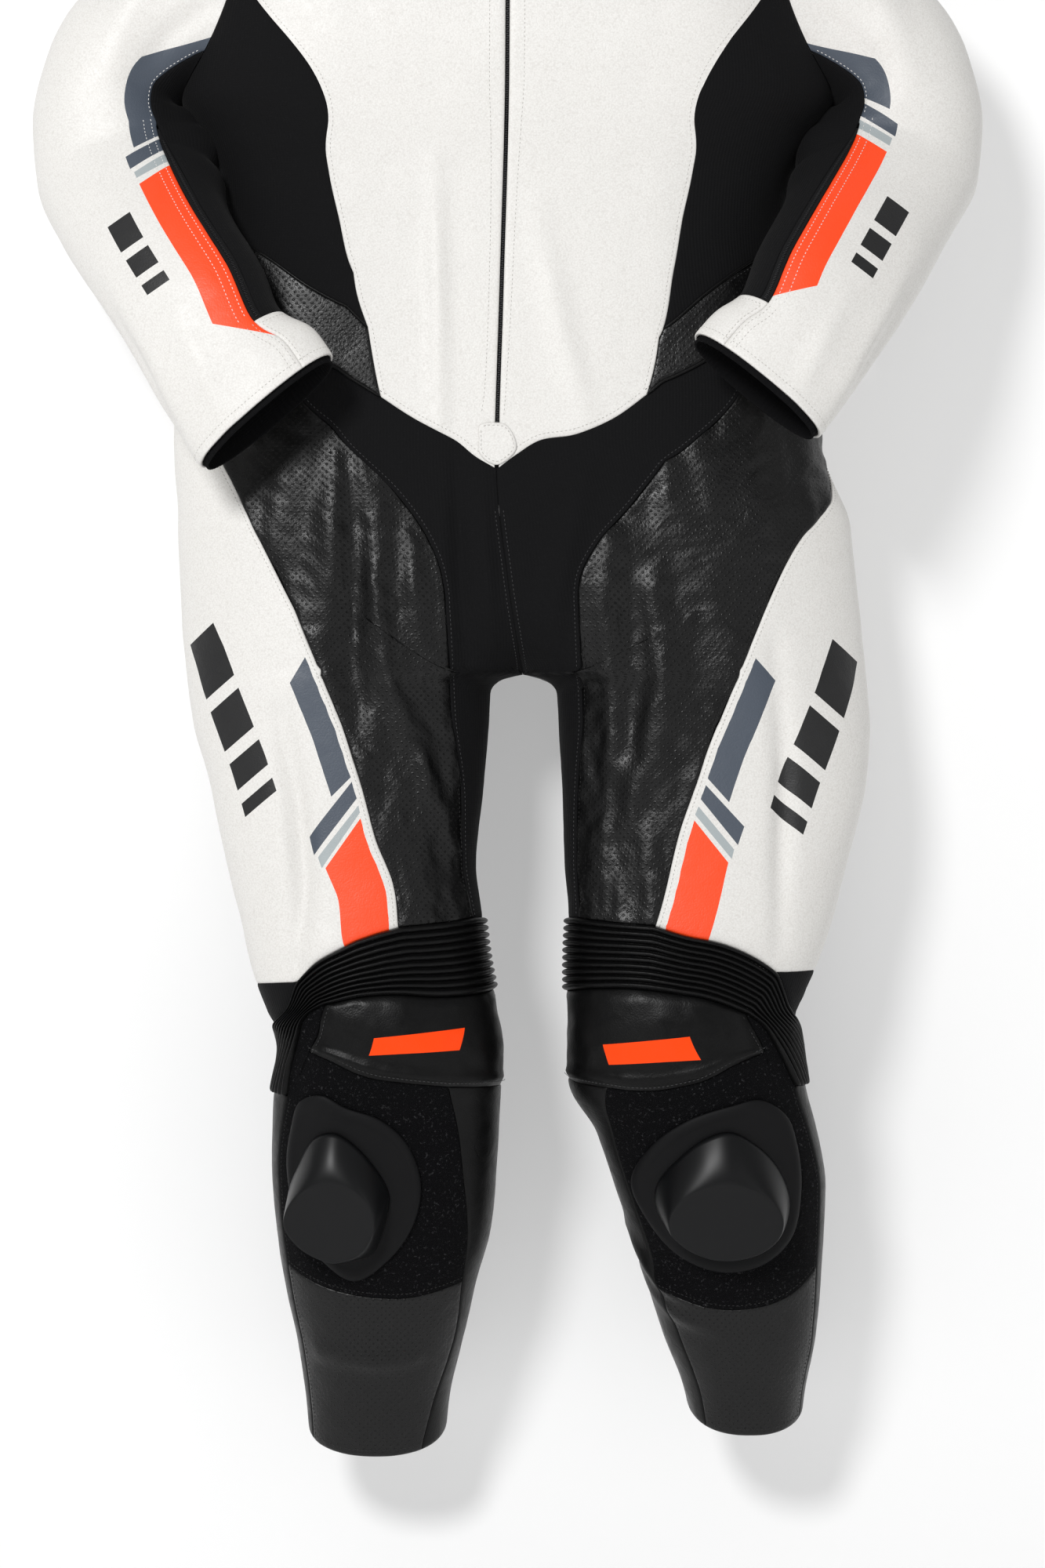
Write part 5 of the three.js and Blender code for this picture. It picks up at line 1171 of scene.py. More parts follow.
# The seat and the backs of the thighs: one piece of black leather a side, sewn together
# down the centre back. They are plain, because the photo hides them.
for side, s, form in halves:
    seat = cut_piece(
        f"seat_cloth_{side}", f"seat_{side}",
        (s["waist_back"], s["knee_back_top"], s["thigh_back"],
         joined(s["centre_back"], to_back(s["inseam"]))),
        form, LEATHER, black_leather, cell=HIDDEN_CELL,
    )
    rows = rows_beside(form, (s["waist_back"], 4), (s["thigh_back"], 4), (s["centre_back"], -4))
    sew(f"seat_stitches_{side}", rows, grey_thread)

# The fronts of the thighs: a piece of punched black leather a side that hangs in long
# soft folds. It is sewn in between the crotch's stretch cloth and the outside, and
# topstitched in black.
for side, s, form in halves:
    thigh = cut_piece(
        f"thigh_{side}", f"thigh_front_{side}",
        (s["band_low_b"], s["ribs_top_b"], s["thigh_inner"], s["thigh_outer"]),
        form, LEATHER, punched_leather, cell=3.6, ridges=3.2,
    )
    rows = rows_beside(form, (s["thigh_inner"], 3.5), (s["thigh_outer"], -3.5),
                       (s["ribs_top_b"], -4))
    sew(f"thigh_stitches_{side}", rows, black_thread, width=0.7, height=0.4)

# The outsides of the thighs: white leather printed with slanted stripes in slate, pale
# grey and orange, which run beside the seam down to the knee, and with black bars
# further out. Near and far are lengths from that seam. The cuts are lines seen from the
# front, in millimetres.
SLATE = (0.06, 0.075, 0.1)
PALE_GREY = (0.36, 0.4, 0.41)
ORANGE = (1.0, 0.062, 0.003)
INK = (0.006, 0.006, 0.0065)
BELOW = [(-900, -5000), (900, -5000)]
THIGH_BARS = [(-692, -752), (-766, -810), (-824, -852), (-866, -880)]


def black_bars(side, near, far, outer_x, inner_x, rise, spans):
    """Slanted bars, each between its two heights at outer_x, which rise towards inner_x."""
    def cut(z):
        return sorted([(HAND[side] * outer_x, z), (HAND[side] * inner_x, z + rise)])

    return [(INK, near, far, cut(high), cut(low)) for high, low in spans]


# Columns: colour, near, far, then the two ends of the upper and of the lower cut
THIGH_STRIPES = {
    "r": [
        (SLATE, 7, 27, [(-189, -733), (-176, -711)], [(-157, -831), (-138, -812)]),
        (SLATE, 7, 54, [(-170, -858), (-137, -816)], [(-164, -871), (-132, -829)]),
        (PALE_GREY, 7, 51, [(-162, -875), (-130, -834)], [(-158, -883), (-130, -842)]),
        (ORANGE, 8, 48, [(-157, -886), (-129, -846)], BELOW),
        *black_bars("r", 70, 104, 270, 190, 66, THIGH_BARS),
    ],
    "l": [
        (SLATE, 8, 31, [(202, -708), (221, -728)], [(163, -811), (180, -830)]),
        (SLATE, 8, 50, [(160, -815), (196, -854)], [(156, -827), (190, -869)]),
        (PALE_GREY, 8, 48, [(154, -833), (187, -873)], [(152, -841), (185, -881)]),
        (ORANGE, 9, 46, [(150, -844), (182, -884)], BELOW),
        *black_bars("l", 66, 100, 270, 190, 66, THIGH_BARS),
    ],
}


def below_line(ends):
    """The weights of x, z and one that are positive under the line."""
    (x0, z0), (x1, z1) = ((x * MM, z * MM) for x, z in ends)
    slope = (z1 - z0) / (x1 - x0)
    return (slope, -1.0, z0 - slope * x0)


def striped_leather(name, stripes, hide=(WHITE, WHITE_VALLEY_SHADE, 0.5, 0.0013, 0.00022), **sockets):
    made, tree, shader, colour_out = leather(name, *hide, **sockets)
    for colour, near, far, upper, lower in stripes:
        under_upper = below_line(upper)
        over_lower = tuple(-w for w in below_line(lower))
        band = use_group(tree, stripe, near=near * MM, far=far * MM, upper_cut=under_upper,
                         lower_cut=over_lower)
        colour_out = blend(tree, band.outputs["Mask"], colour_out, (*colour, 1))
    tree.links.new(colour_out, shader.inputs["Base Color"])
    return made


for side, s, form in halves:
    outer_thigh = cut_piece(
        f"outer_thigh_{side}", f"thigh_outer_{side}",
        (s["band_low_c"], joined(s["ribs_top_c"], s["white_bottom"]), s["thigh_outer"],
         s["thigh_back"]),
        form, LEATHER, striped_leather(f"striped_thigh_{side}", THIGH_STRIPES[side]),
        art={"seam": s["thigh_outer"]},
    )
    rows = rows_beside(form, (s["thigh_outer"], 3.5), (s["ribs_top_c"], -4.5),
                       (s["thigh_back"], -4))
    sew(f"outer_thigh_stitches_{side}", rows, light_thread)

# The knees: ten leather ribs that open as the knee bends, over a padded leather cap
# with a full lower edge. Behind the knee is stretch cloth.
RIBS = 10
RIB_HEIGHT = 4.6
RIB_ROWS = 12 * RIBS


def rib_height(across, down):
    return RIB_HEIGHT * np.abs(np.sin(RIBS * math.pi * down)) ** 0.6 + 0 * across


def cap_height(across, down):
    """A soft pad that falls off to its seams, with a fuller lip along its lower edge."""
    from_ends = np.minimum(across, 1 - across) * 14
    edge = np.clip(np.minimum(from_ends, down * 9), 0, 1)
    lip = np.exp(-(((down - 0.9) / 0.055) ** 2)) * 3.2 * np.clip(from_ends, 0, 1)
    return 1.5 * smoothstep(edge, 0, 1) * smoothstep(1 - down, 0.02, 0.2) + lip


# Columns as for the stripes above; the lengths are from the cap's end
CAP_BAR = {
    "r": [(ORANGE, 48, 118, [(-200, -1036), (0, -1016)], [(-200, -1046), (0, -1036)])],
    "l": [(ORANGE, 52, 122, [(0, -1042), (300, -1010)], [(0, -1056), (300, -1036)])],
}
BLACK_HIDE = (BLACK, BLACK_VALLEY_SHADE, 0.35, 0.0013, 0.00016)
for side, s, form in halves:
    ribs = cut_piece(
        f"ribs_{side}", f"knee_ribs_{side}",
        (joined(s["ribs_top_a"], s["ribs_top_b"], s["ribs_top_c"], s["ribs_side"]),
         joined(s["cap_top"], s["ribs_inside"]), s["inseam_ribs"], s["ribs_end"]),
        form, LEATHER, black_leather,
        relief={"rows": RIB_ROWS, "height": rib_height},
    )
    cap_low = joined(s["cap_bottom"], s["cap_inside"])
    marked = striped_leather(f"marked_cap_{side}", CAP_BAR[side], BLACK_HIDE,
                             specular_ior_level=0.15)
    cap = cut_piece(
        f"cap_{side}", f"knee_cap_{side}",
        (s["cap_top"], cap_low[::-1], s["inseam_cap"], s["cap_end"]),
        form, LEATHER, marked, relief={"height": cap_height}, cell=3.0, waves=1.4,
        art={"seam": s["cap_end"]},
    )
    hollow = cut_piece(
        f"back_of_knee_{side}", f"knee_back_{side}",
        (joined(s["white_bottom"], s["knee_back_top"]), s["knee_back_low"], s["ribs_side"],
         to_back(joined(s["inseam_ribs"], s["inseam_cap"]))),
        form, STRETCH, stretch_cloth,
    )
    rows = rows_beside(form, (s["cap_top"], 4, 0.6), (cap_low, -4.5, 2.6), (s["cap_end"], -4, 0.8))
    sew(f"cap_stitches_{side}", rows, grey_thread)

# The field of loop cloth that the knee slider presses onto: a coarse black pile on a woven
# ground, sewn in below the cap and down the side of the knee. Its colour has painted
# highlights: lighter flecks at random that stand for glints on the pile.
PILE_DARK = (0.0025, 0.0025, 0.003, 1)
PILE_GLINT = (0.035, 0.035, 0.037, 1)
loop_cloth, tree, shader = finish("loop_cloth", (0.004, 0.004, 0.0045), 0.95,
                                  specular_ior_level=0.1)
where = add(tree, "ShaderNodeTexCoord").outputs["Object"]
loops = add(tree, "ShaderNodeTexVoronoi", {"Vector": where, "Scale": 900.0})
glint_noise = add(tree, "ShaderNodeTexNoise", {"Vector": where, "Scale": 420.0, "Detail": 3.0})
glint_mask = add(tree, "ShaderNodeMapRange",
            {"Value": glint_noise.outputs["Fac"], "From Min": 0.6, "From Max": 0.75})
pile = add(tree, "ShaderNodeBump",
           {"Height": loops.outputs["Distance"], "Strength": 1.0, "Distance": 0.0011})
# Painted highlights: lighter flecks of colour stand in for glints on the pile
painted_glints = blend(tree, glint_mask.outputs["Result"], PILE_DARK, PILE_GLINT)
tree.links.new(painted_glints, shader.inputs["Base Color"])
tree.links.new(pile.outputs["Normal"], shader.inputs["Normal"])
for side, s, form in halves:
    loop = cut_piece(
        f"loop_{side}", f"knee_loop_{side}",
        (joined(s["cap_end"], s["cap_bottom"]), s["loop_bottom"],
         joined(s["ribs_inside"], s["leg_side"]), s["loop_inside"]),
        form, STRETCH, loop_cloth, edge_weights=(1.4, 0.4, 0.4, 0.4),
    )

# The lower legs: black leather in front, punched below the slider, and a long piece
# round the outside and the back. Both end at the open hem.
for side, s, form in halves:
    shin = cut_piece(
        f"lower_leg_{side}", f"shin_{side}",
        (s["loop_bottom"], s["hem_front"], s["shin_side"], s["shin_inside"]),
        form, LEATHER, punched_leather,
    )
    outer_edge = joined(s["leg_side"], s["shin_side"])
    calf = cut_piece(
        f"back_leg_{side}", f"calf_{side}",
        (joined(s["knee_back_low"], to_back(s["cap_inside"][::-1])), s["hem_back"],
         joined(s["ribs_end"], outer_edge), to_back(joined(s["loop_inside"], s["shin_inside"]))),
        form, LEATHER, black_leather, cell=6.0,
    )
    rows = rows_beside(form, (s["loop_bottom"], -4), (s["hem_front"], -6), (outer_edge, -4))
    sew(f"leg_stitches_{side}", rows, black_thread, width=0.7)

# The sleeves are bent at the elbow, with the hands at the hips. Their own form runs
# from the armhole (0) to the cuff (12), and w goes once round them from the outer side.
# Columns: inner x and z, outer x and z, y of the middle, half the depth
SLEEVE = {
    "r": np.array([
        (-287, -225, -237, -40, 0, 60), (-290, -229, -314, -80, 0, 62),
        (-292, -233, -366, -124, 0, 63), (-291, -238, -402, -184, -2, 62),
        (-287, -245, -415, -246, -7, 60), (-276, -264, -408, -308, -17, 57),
        (-258, -298, -384, -358, -48, 51), (-235, -342, -350, -408, -86, 47),
        (-210, -384, -321, -452, -112, 43), (-192, -424, -291, -503, -128, 38),
        (-166, -438, -279, -522, -132, 36), (-149, -461, -259, -554, -138, 33),
        (-143, -469, -253, -562, -140, 33),
    ], float),
    "l": np.array([
        (277, -225, 227, -40, 0, 60), (280, -229, 304, -80, 0, 62),
        (282, -233, 356, -124, 0, 63), (281, -238, 392, -184, -2, 62),
        (277, -245, 405, -246, -7, 60), (266, -264, 398, -302, -17, 57),
        (246, -298, 372, -350, -48, 51), (222, -338, 342, -402, -86, 47),
        (203, -374, 314, -446, -112, 43), (188, -411, 287, -484, -128, 38),
        (168, -424, 275, -501, -132, 36), (150, -444, 254, -529, -138, 33),
        (144, -451, 247, -537, -140, 33),
    ], float),
}
SLEEVE_END = 12
ARMHOLE_BLEND = 2.5
# Folds of the sleeves. Columns: height, width, then the line that each follows, as
# w and the place along the sleeve
ARM_FOLDS = [
    (21, 24, (0.5, 3.2), (0.5, 4.5), (0.5, 6.0)),
    (-4, 6, (0.4, 4.7), (0.5, 4.9), (0.6, 4.8)),
    (-4, 6, (0.39, 5.6), (0.5, 5.8), (0.62, 5.6)),
    (3, 11, (0.14, 6.8), (0.11, 8.4), (0.07, 10.4)),
    (-3, 8, (0.09, 7.4), (0.06, 8.8), (0.03, 10.2)),
    (4, 14, (0.16, 0.6), (0.2, 1.9), (0.25, 3.2)),
    (-4, 12, (0.27, 0.5), (0.29, 1.6), (0.32, 2.8)),
    (2.5, 9, (0.22, 8.2), (0.21, 9.4), (0.18, 10.8)),
]


def sleeve_base(side, w, t):
    w, t = np.broadcast_arrays(np.asarray(w, float), np.asarray(t, float))
    rings = np.column_stack([np.arange(SLEEVE_END + 1), SLEEVE[side]])

    def ends(at):
        y = follow(rings, 5, at)
        return [
            np.stack([follow(rings, c, at), y, follow(rings, c + 1, at)], axis=-1) for c in (1, 3)
        ]

    inner, outer = ends(t)
    down = unit(sum(ends(np.minimum(t + 0.5, SLEEVE_END))) - sum(ends(np.maximum(t - 0.5, 0))))
    forward = unit(np.array([0.0, -1.0, 0.0]) + down[..., 1:2] * down)
    angle = 2 * math.pi * w
    wide, deep = (np.sign(f(angle)) * np.abs(f(angle)) ** FULLNESS for f in (np.cos, np.sin))
    deep = deep * follow(rings, 6, t)
    ring = (inner + outer) / 2 + (outer - inner) / 2 * wide[..., None] + forward * deep[..., None]
    hole = armhole_at(w)
    start = body_base(side, hole[..., 0], hole[..., 1])
    blend = smoothstep(t, 0, ARMHOLE_BLEND)[..., None]
    return start + (ring - start) * blend


def sleeve_place(side, w, t):
    base = sleeve_base(side, w, t)
    at = np.clip(t, 0.15, SLEEVE_END - 0.1)
    around = sleeve_base(side, w + 0.01, at) - sleeve_base(side, w - 0.01, at)
    along = sleeve_base(side, w, at + 0.1) - sleeve_base(side, w, at - 0.1)
    normal = unit(np.cross(around, along)) * HAND[side]
    return base + normal * fold_height(f"{side}_arm", base)[..., None], normal


def sleeve_form(side):
    def base(w, t):
        return sleeve_base(side, w, t)

    return SimpleNamespace(
        base=base, place=lambda w, t: sleeve_place(side, w, t), steps=(0.006, 0.06),
        spread=arc_spread(base, np.linspace(-0.5, 1, 121), np.linspace(0, SLEEVE_END, 61), 0.25),
    )


arms = {side: sleeve_form(side) for side in "rl"}
for side in "rl":
    for height, width, *line in ARM_FOLDS:
        path = np.array([sleeve_base(side, *place) for place in line])
        fold_paths.append((f"{side}_arm", height, width, path))

# The lines that the sleeve's seams and its zip follow. Columns: place along the sleeve,
# then w of the inner seam, the zip's two edges and the back seam
SLEEVE_SEAMS = np.array([
    (0, 0.36, 0.36, 0.36, 0.7), (4, 0.36, 0.36, 0.36, 0.69),
    (5, 0.362, 0.364, 0.36, 0.68), (6.5, 0.365, 0.377, 0.352, 0.68),
    (10, 0.365, 0.38, 0.35, 0.68), (12, 0.365, 0.38, 0.35, 0.68),
], float)
INNER, ZIP_INNER, ZIP_OUTER, BACK_SEAM = 1, 2, 3, 4
ZIP_START = 5
TAB_START = 9.1
CUFF = 11


def along_sleeve(seam_column, start, stop, count=48, turn=0):
    t = np.linspace(start, stop, count + 1)
    return np.stack([follow(SLEEVE_SEAMS, seam_column, t) + turn, t], axis=-1)


def round_sleeve(first, end, t, count=60):
    return np.stack([np.linspace(first, end, count + 1), np.full(count + 1, float(t))], axis=-1)


# The outsides of the sleeves: white leather with the same stripes beside the inner
# seam, and an orange field beside the zip that is topstitched twice in white.
SLEEVE_STRIPES = {
    "r": [
        (SLATE, 0, 24, [(-340, -205), (-290, -190)], [(-312, -273), (-293, -261)]),
        (SLATE, 0, 33, [(-318, -281), (-291, -263)], [(-313, -292), (-286, -273)]),
        (PALE_GREY, 0, 31, [(-311, -296), (-285, -277)], [(-308, -302), (-281, -285)]),
        (ORANGE, 0, 31, [(-307, -308), (-280, -288)], [(-237, -440), (-208, -445)]),
        *black_bars("r", 48, 70, 340, 280, 40, [(-352, -384), (-394, -416), (-426, -438)]),
    ],
    "l": [
        (SLATE, 0, 24, [(270, -190), (330, -205)], [(288, -225), (307, -236)]),
        (SLATE, 0, 33, [(284, -225), (312, -246)], [(276, -233), (307, -256)]),
        (PALE_GREY, 0, 31, [(274, -236), (306, -259)], [(271, -243), (303, -266)]),
        (ORANGE, 0, 31, [(268, -247), (300, -271)], [(204, -417), (234, -410)]),
        *black_bars("l", 48, 70, 330, 270, 45, [(-337, -369), (-379, -401), (-411, -423)]),
    ],
}
white_thread = finish("white_thread", (0.75, 0.74, 0.72), 0.65)[0]
zip_edge = along_sleeve(ZIP_OUTER, ZIP_START, TAB_START)
beyond_zip = along_sleeve(ZIP_OUTER, TAB_START, CUFF, 16)
sleeve_seam = joined(along_sleeve(INNER, 0, ZIP_START), zip_edge, beyond_zip)
cuff_line = round_sleeve(0.68 - 1, float(follow(SLEEVE_SEAMS, ZIP_OUTER, CUFF)), CUFF)
orange_edge = along_sleeve(ZIP_OUTER, ZIP_START - 0.35, TAB_START - 0.1)
under_tab = along_sleeve(ZIP_OUTER, TAB_START, CUFF - 0.1)
for side, form in arms.items():
    sleeve = cut_piece(
        f"sleeve_{side}", f"sleeve_outer_{side}",
        (round_sleeve(-0.3, 0.36, 0), cuff_line, along_sleeve(BACK_SEAM, 0, CUFF, turn=-1),
         sleeve_seam),
        form, LEATHER, striped_leather(f"striped_sleeve_{side}", SLEEVE_STRIPES[side]),
        art={"seam": sleeve_seam},
    )
    rows = rows_beside(form, (along_sleeve(INNER, 0.3, ZIP_START - 0.4), 2.6), (orange_edge, 4.5),
                       (orange_edge, 11))
    sew(f"sleeve_stitches_{side}", rows, white_thread, width=0.75, height=0.4)
    rows = rows_beside(form, (cuff_line, -4.5), (under_tab, 9), (under_tab, 3.5))
    sew(f"cuff_stitches_{side}", rows, light_thread)

# The insides of the sleeves: one piece of stretch cloth a side, from the armhole to the
# cuff tab. It is sewn to the white outside at the back, and to the zip in front.
for side, form in arms.items():
    inside = cut_piece(
        f"inner_sleeve_{side}", f"sleeve_inner_{side}",
        (round_sleeve(0.36, 0.7, 0), round_sleeve(0.379, 0.68, TAB_START),
         joined(along_sleeve(INNER, 0, ZIP_START), along_sleeve(ZIP_INNER, ZIP_START, TAB_START)),
         along_sleeve(BACK_SEAM, 0, TAB_START)),
        form, STRETCH, stretch_cloth,
    )

# The cuff tabs: a piece of white leather a side that is laid round the wrist and closed
# over the zip's lower end, with a row of stitches near its free edges.
tab_foot = round_sleeve(float(follow(SLEEVE_SEAMS, ZIP_OUTER, CUFF)), 0.68, CUFF)
for side, form in arms.items():
    tab = cut_piece(
        f"tab_{side}", f"cuff_tab_{side}",
        (round_sleeve(0.351, 0.68, TAB_START), tab_foot, beyond_zip,
         along_sleeve(BACK_SEAM, TAB_START, CUFF, 16)),
        form, LEATHER, white_leather, edge_weights=(-0.6, 1, 1, 1),
    )
    rows = rows_beside(form, (tab_foot, -4.5), (round_sleeve(0.36, 0.66, TAB_START), 4.5),
                       (along_sleeve(ZIP_OUTER, TAB_START + 0.15, CUFF - 0.1), -3.5))
    sew(f"tab_stitches_{side}", rows, light_thread)

# The inner cuffs: a ring of ribbed knit in each sleeve that grips the wrist and shows a
# little beyond the leather. Its loops run along the arm.
ribbed_cuff = cloth("ribbed_cuff", (0.0045, 0.0045, 0.005), 0.9, rib=0.0016, depth=0.0006,
                    specular_ior_level=0.1)[0]
# The cuff lies this far under the outer face. CUFF_ROUND and STATION are the lengths that
# its ribs are spread over
CUFF_IN = LEATHER + 2.2
CUFF_THICK = 1.7
CUFF_RIBS = 60
CUFF_ROUND = 280
STATION = 30
turns, stations = np.linspace(0, 1, 2 * CUFF_RIBS, endpoint=False), np.linspace(9.6, 11.4, 16)
for side, form in arms.items():
    points, normal = form.place(turns[:, None], stations[None, :])
    ribbed = 0.35 * np.cos(turns * 2 * math.pi * CUFF_RIBS)[:, None, None]
    spread = np.stack(np.meshgrid(turns * CUFF_ROUND, stations * STATION, indexing="ij"), axis=-1)
    inner_cuff = shell_mesh(
        f"knit_cuff_{side}", points - normal * (CUFF_IN - ribbed),
        points - normal * (CUFF_IN + CUFF_THICK), {"cloth": spread}, ribbed_cuff, ring=True,
    )
    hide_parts(f"inner_cuff_{side}")
    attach(inner_cuff, "suit")

# The zips: woven tape with a row of small teeth that meet along its middle. The main
# zip lies behind the two fronts, and a short one lies in each forearm.
zip_tape = cloth("zip_tape", (0.007, 0.007, 0.0075), 0.8, rib=0.001, specular_ior_level=0.15)[0]
zip_teeth = finish("zip_teeth", (0.03, 0.03, 0.032), 0.35, metallic=0.6)[0]
TOOTH = (1.5, 1.0, 1.1)
# Corners of a tooth's side. Columns: across, up, and the share of its length there
TOOTH_CORNERS = ((-0.4, 0, 1), (0.7, 0, 1), (0.7, 1, 0.8), (-0.4, 1, 0.8), (-0.9, 0.3, 0.3))


def teeth(name, line, normal, pitch):
    """Two rows of teeth that lock along the line, each a small block with a round nose."""
    reach = lengths_along(line)
    verts, faces = [], []
    for k, where in enumerate(np.arange(pitch, reach[-1] - pitch, pitch)):
        middle = read_at(line, reach, where)
        up = unit(read_at(normal, reach, where))
        way = unit(read_at(line, reach, where + 0.5) - middle)
        side = np.cross(up, way) * (1 if k % 2 else -1)
        ring = [len(verts) + 2 * m for m in range(5)]
        for across, lift, share in TOOTH_CORNERS:
            corner = middle + side * TOOTH[0] * across + up * TOOTH[1] * lift
            verts += [corner + way * end * share * TOOTH[2] / 2 for end in (-1, 1)]
        faces += [ring, [v + 1 for v in reversed(ring)]]
        faces += [(a, a + 1, b + 1, b) for a, b in zip(ring, ring[1:] + ring[:1])]
    made = mesh_object(name, verts, faces, zip_teeth, smooth=False)
    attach(made, "suit")
    return made


TAPE_HALF = 8
TAPE_THICK = 1.1
# The tape runs on up the collar by this much
TAPE_TOP = 27.0
points, normal = body_place("r", *seams["r"]["centre_front"].T)
behind = points - normal * (LEATHER + TAPE_THICK)
half = np.where(np.arange(len(points)) < len(points) - FINE, TAPE_HALF, TAPE_HALF * 0.5)[:, None]
tape_rows = np.stack([behind + np.array([1.0, 0, 0]) * half * way for way in np.linspace(-1, 1, 9)])
tape_rows = np.concatenate([tape_rows[:, :1] + (0, 0, TAPE_TOP), tape_rows], axis=1)
under = tape_rows - np.concatenate([normal[:1], normal]) * TAPE_THICK
tape = shell_mesh("main_zip_tape", tape_rows, under, {"cloth": tape_rows[..., [0, 2]]}, zip_tape)
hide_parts("zip_main")
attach(tape, "suit")
teeth("main_zip_teeth", (behind + normal * 0.05)[3:-4], normal[3:-4], 1.9)
for side, form in arms.items():
    edges = [beside(form, along_sleeve(column, ZIP_START + 0.25, TAB_START, 90), inward)
             for column, inward in ((ZIP_OUTER, -0.3), (ZIP_INNER, 0.3))]
    across = np.linspace(0, 1, 7)[:, None, None]
    places = edges[0] + (edges[1] - edges[0]) * across
    points, normal = form.place(places[..., 0], places[..., 1])
    points = points - normal * 0.5
    strip = shell_mesh(f"forearm_zip_{side}", points, points - normal * TAPE_THICK,
                       {"cloth": form.spread(places)}, zip_tape)
    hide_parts(f"zip_sleeve_{side}")
    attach(strip, "suit")
    teeth(f"forearm_teeth_{side}", points[3, 8:], normal[3, 8:], 1.6)

# The main zip's slider and its pull tab are cast in dark metal. The solids are plain and
# small enough to stay as they are. The tab swings on the slider's bar.
zip_metal = finish("zip_metal", (0.09, 0.09, 0.095), 0.3, metallic=0.9)[0]
for cad_node in ("zip_slider", "zip_pull"):
    nodes[cad_node].data.materials.clear()
    nodes[cad_node].data.materials.append(zip_metal)


# The pieces that are laid on the front each fill a closed outline with rings of points.
def across_u(side, x, z):
    """The place round one half of the form, which may run over onto the other half."""
    over = HAND[side] * (x - follow(CENTRE, 1, z)) < 0
    return np.where(over, -front_u(OTHER[side], x, z), front_u(side, x, z))


# How far a face is levelled against the form below it, and how much of the way to the
# outline it takes up: the usual share, and the most of it
LEVELLED = 0.85
FACE_SHARE = 0.85
WIDEST_FACE = 0.93


def laid(name, cad_node, outline, side, base, height, material, spokes=96, rings=20, face=None):
    """height gives the thickness for the share of the way out over the face, and then
    for the share of the way from the face's edge to the outline. face is its middle and
    its half width and half height."""
    closed = np.array([*outline[-3:], *outline, *outline[:3]], float)
    fine = smooth_path(closed, CURVE_STEPS * len(closed))
    half = len(fine) // 2
    start_gap = np.linalg.norm(fine - outline[0], axis=1)
    first, far = int(np.argmin(start_gap[:half])), half + int(np.argmin(start_gap[half:]))
    loop_line = fine[first:far]
    reach = lengths_along(loop_line)
    edge = read_at(loop_line, reach, np.linspace(0, reach[-1], spokes, endpoint=False))
    middle = np.array(face[0]) if face else edge.mean(axis=0)
    on_face = np.full((spokes, 1), FACE_SHARE)
    if face:
        gap = np.linalg.norm((edge - middle) / face[1], axis=1, keepdims=True)
        on_face = np.minimum(1 / gap, WIDEST_FACE)
    over_face = np.linspace(0.04, 1, rings // 2 + 1)
    down_side = np.linspace(0, 1, rings - rings // 2 + 1)[1:]
    share = np.concatenate([on_face * over_face, on_face + (1 - on_face) * down_side], axis=1)
    flat = middle + (edge - middle)[:, None] * share[:, :, None]
    x, z = flat[..., 0], flat[..., 1]
    points, normal = body_place(side, across_u(side, x, z), z)
    over = np.concatenate([over_face, 1 + 0 * down_side])
    down = np.concatenate([0 * over_face, down_side])
    thickness = np.tile(height(over, down), (spokes, 1))
    under = points + normal * base
    outward = normal
    if face:
        outward = unit(normal.mean(axis=(0, 1)) * (0.6, 1, 1))
        fallen = (points[:, :1].mean(axis=0) - points) @ outward
        thickness = thickness + LEVELLED * fallen * (1 - down)
    top = under + outward * thickness[..., None]
    made = shell_mesh(name, top, under, {"cloth": flat}, material, ring=True)
    mesh = made.data
    count = spokes * (rings + 1)
    bm = bmesh.new()
    bm.from_mesh(mesh)
    bm.verts.ensure_lookup_table()
    for offset in (0, count):
        bm.faces.new([bm.verts[offset + k * (rings + 1)] for k in range(spokes)])
    for face in list(bm.faces):
        around = [v.index for v in face.verts]
        at_middle = all(v % (rings + 1) == 0 for v in around)
        if len(around) == 4 and at_middle and min(around) < count <= max(around):
            bm.faces.remove(face)
    bmesh.ops.recalc_face_normals(bm, faces=bm.faces)
    for face in bm.faces:
        face.smooth = True
    bm.to_mesh(mesh)
    bm.free()
    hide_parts(cad_node)
    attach(made, "suit")
    return made, edge


# The shield over the zip's lower end: a small patch of white leather, stitched on all
# round its edge.
SHIELD = [
    (-28, -513), (-17, -511), (-6, -513), (2, -526), (2, -535), (-14, -547), (-28, -538),
    (-29, -526),
]


def shield_height(over, down):
    return 1.5 - 0.9 * down**3


shield, edge = laid("zip_shield", "zip_end_tab", SHIELD, "r", 0.4, shield_height, white_leather, 64, 12)
middle = edge.mean(axis=0)
ring = middle + (np.vstack([edge, edge[:1]]) - middle) * 0.86
ring_line = np.stack([across_u("r", ring[:, 0], ring[:, 1]), ring[:, 1]], axis=-1)
sew("shield_stitches", [(forms["r"], ring_line, 1.9)], light_thread)

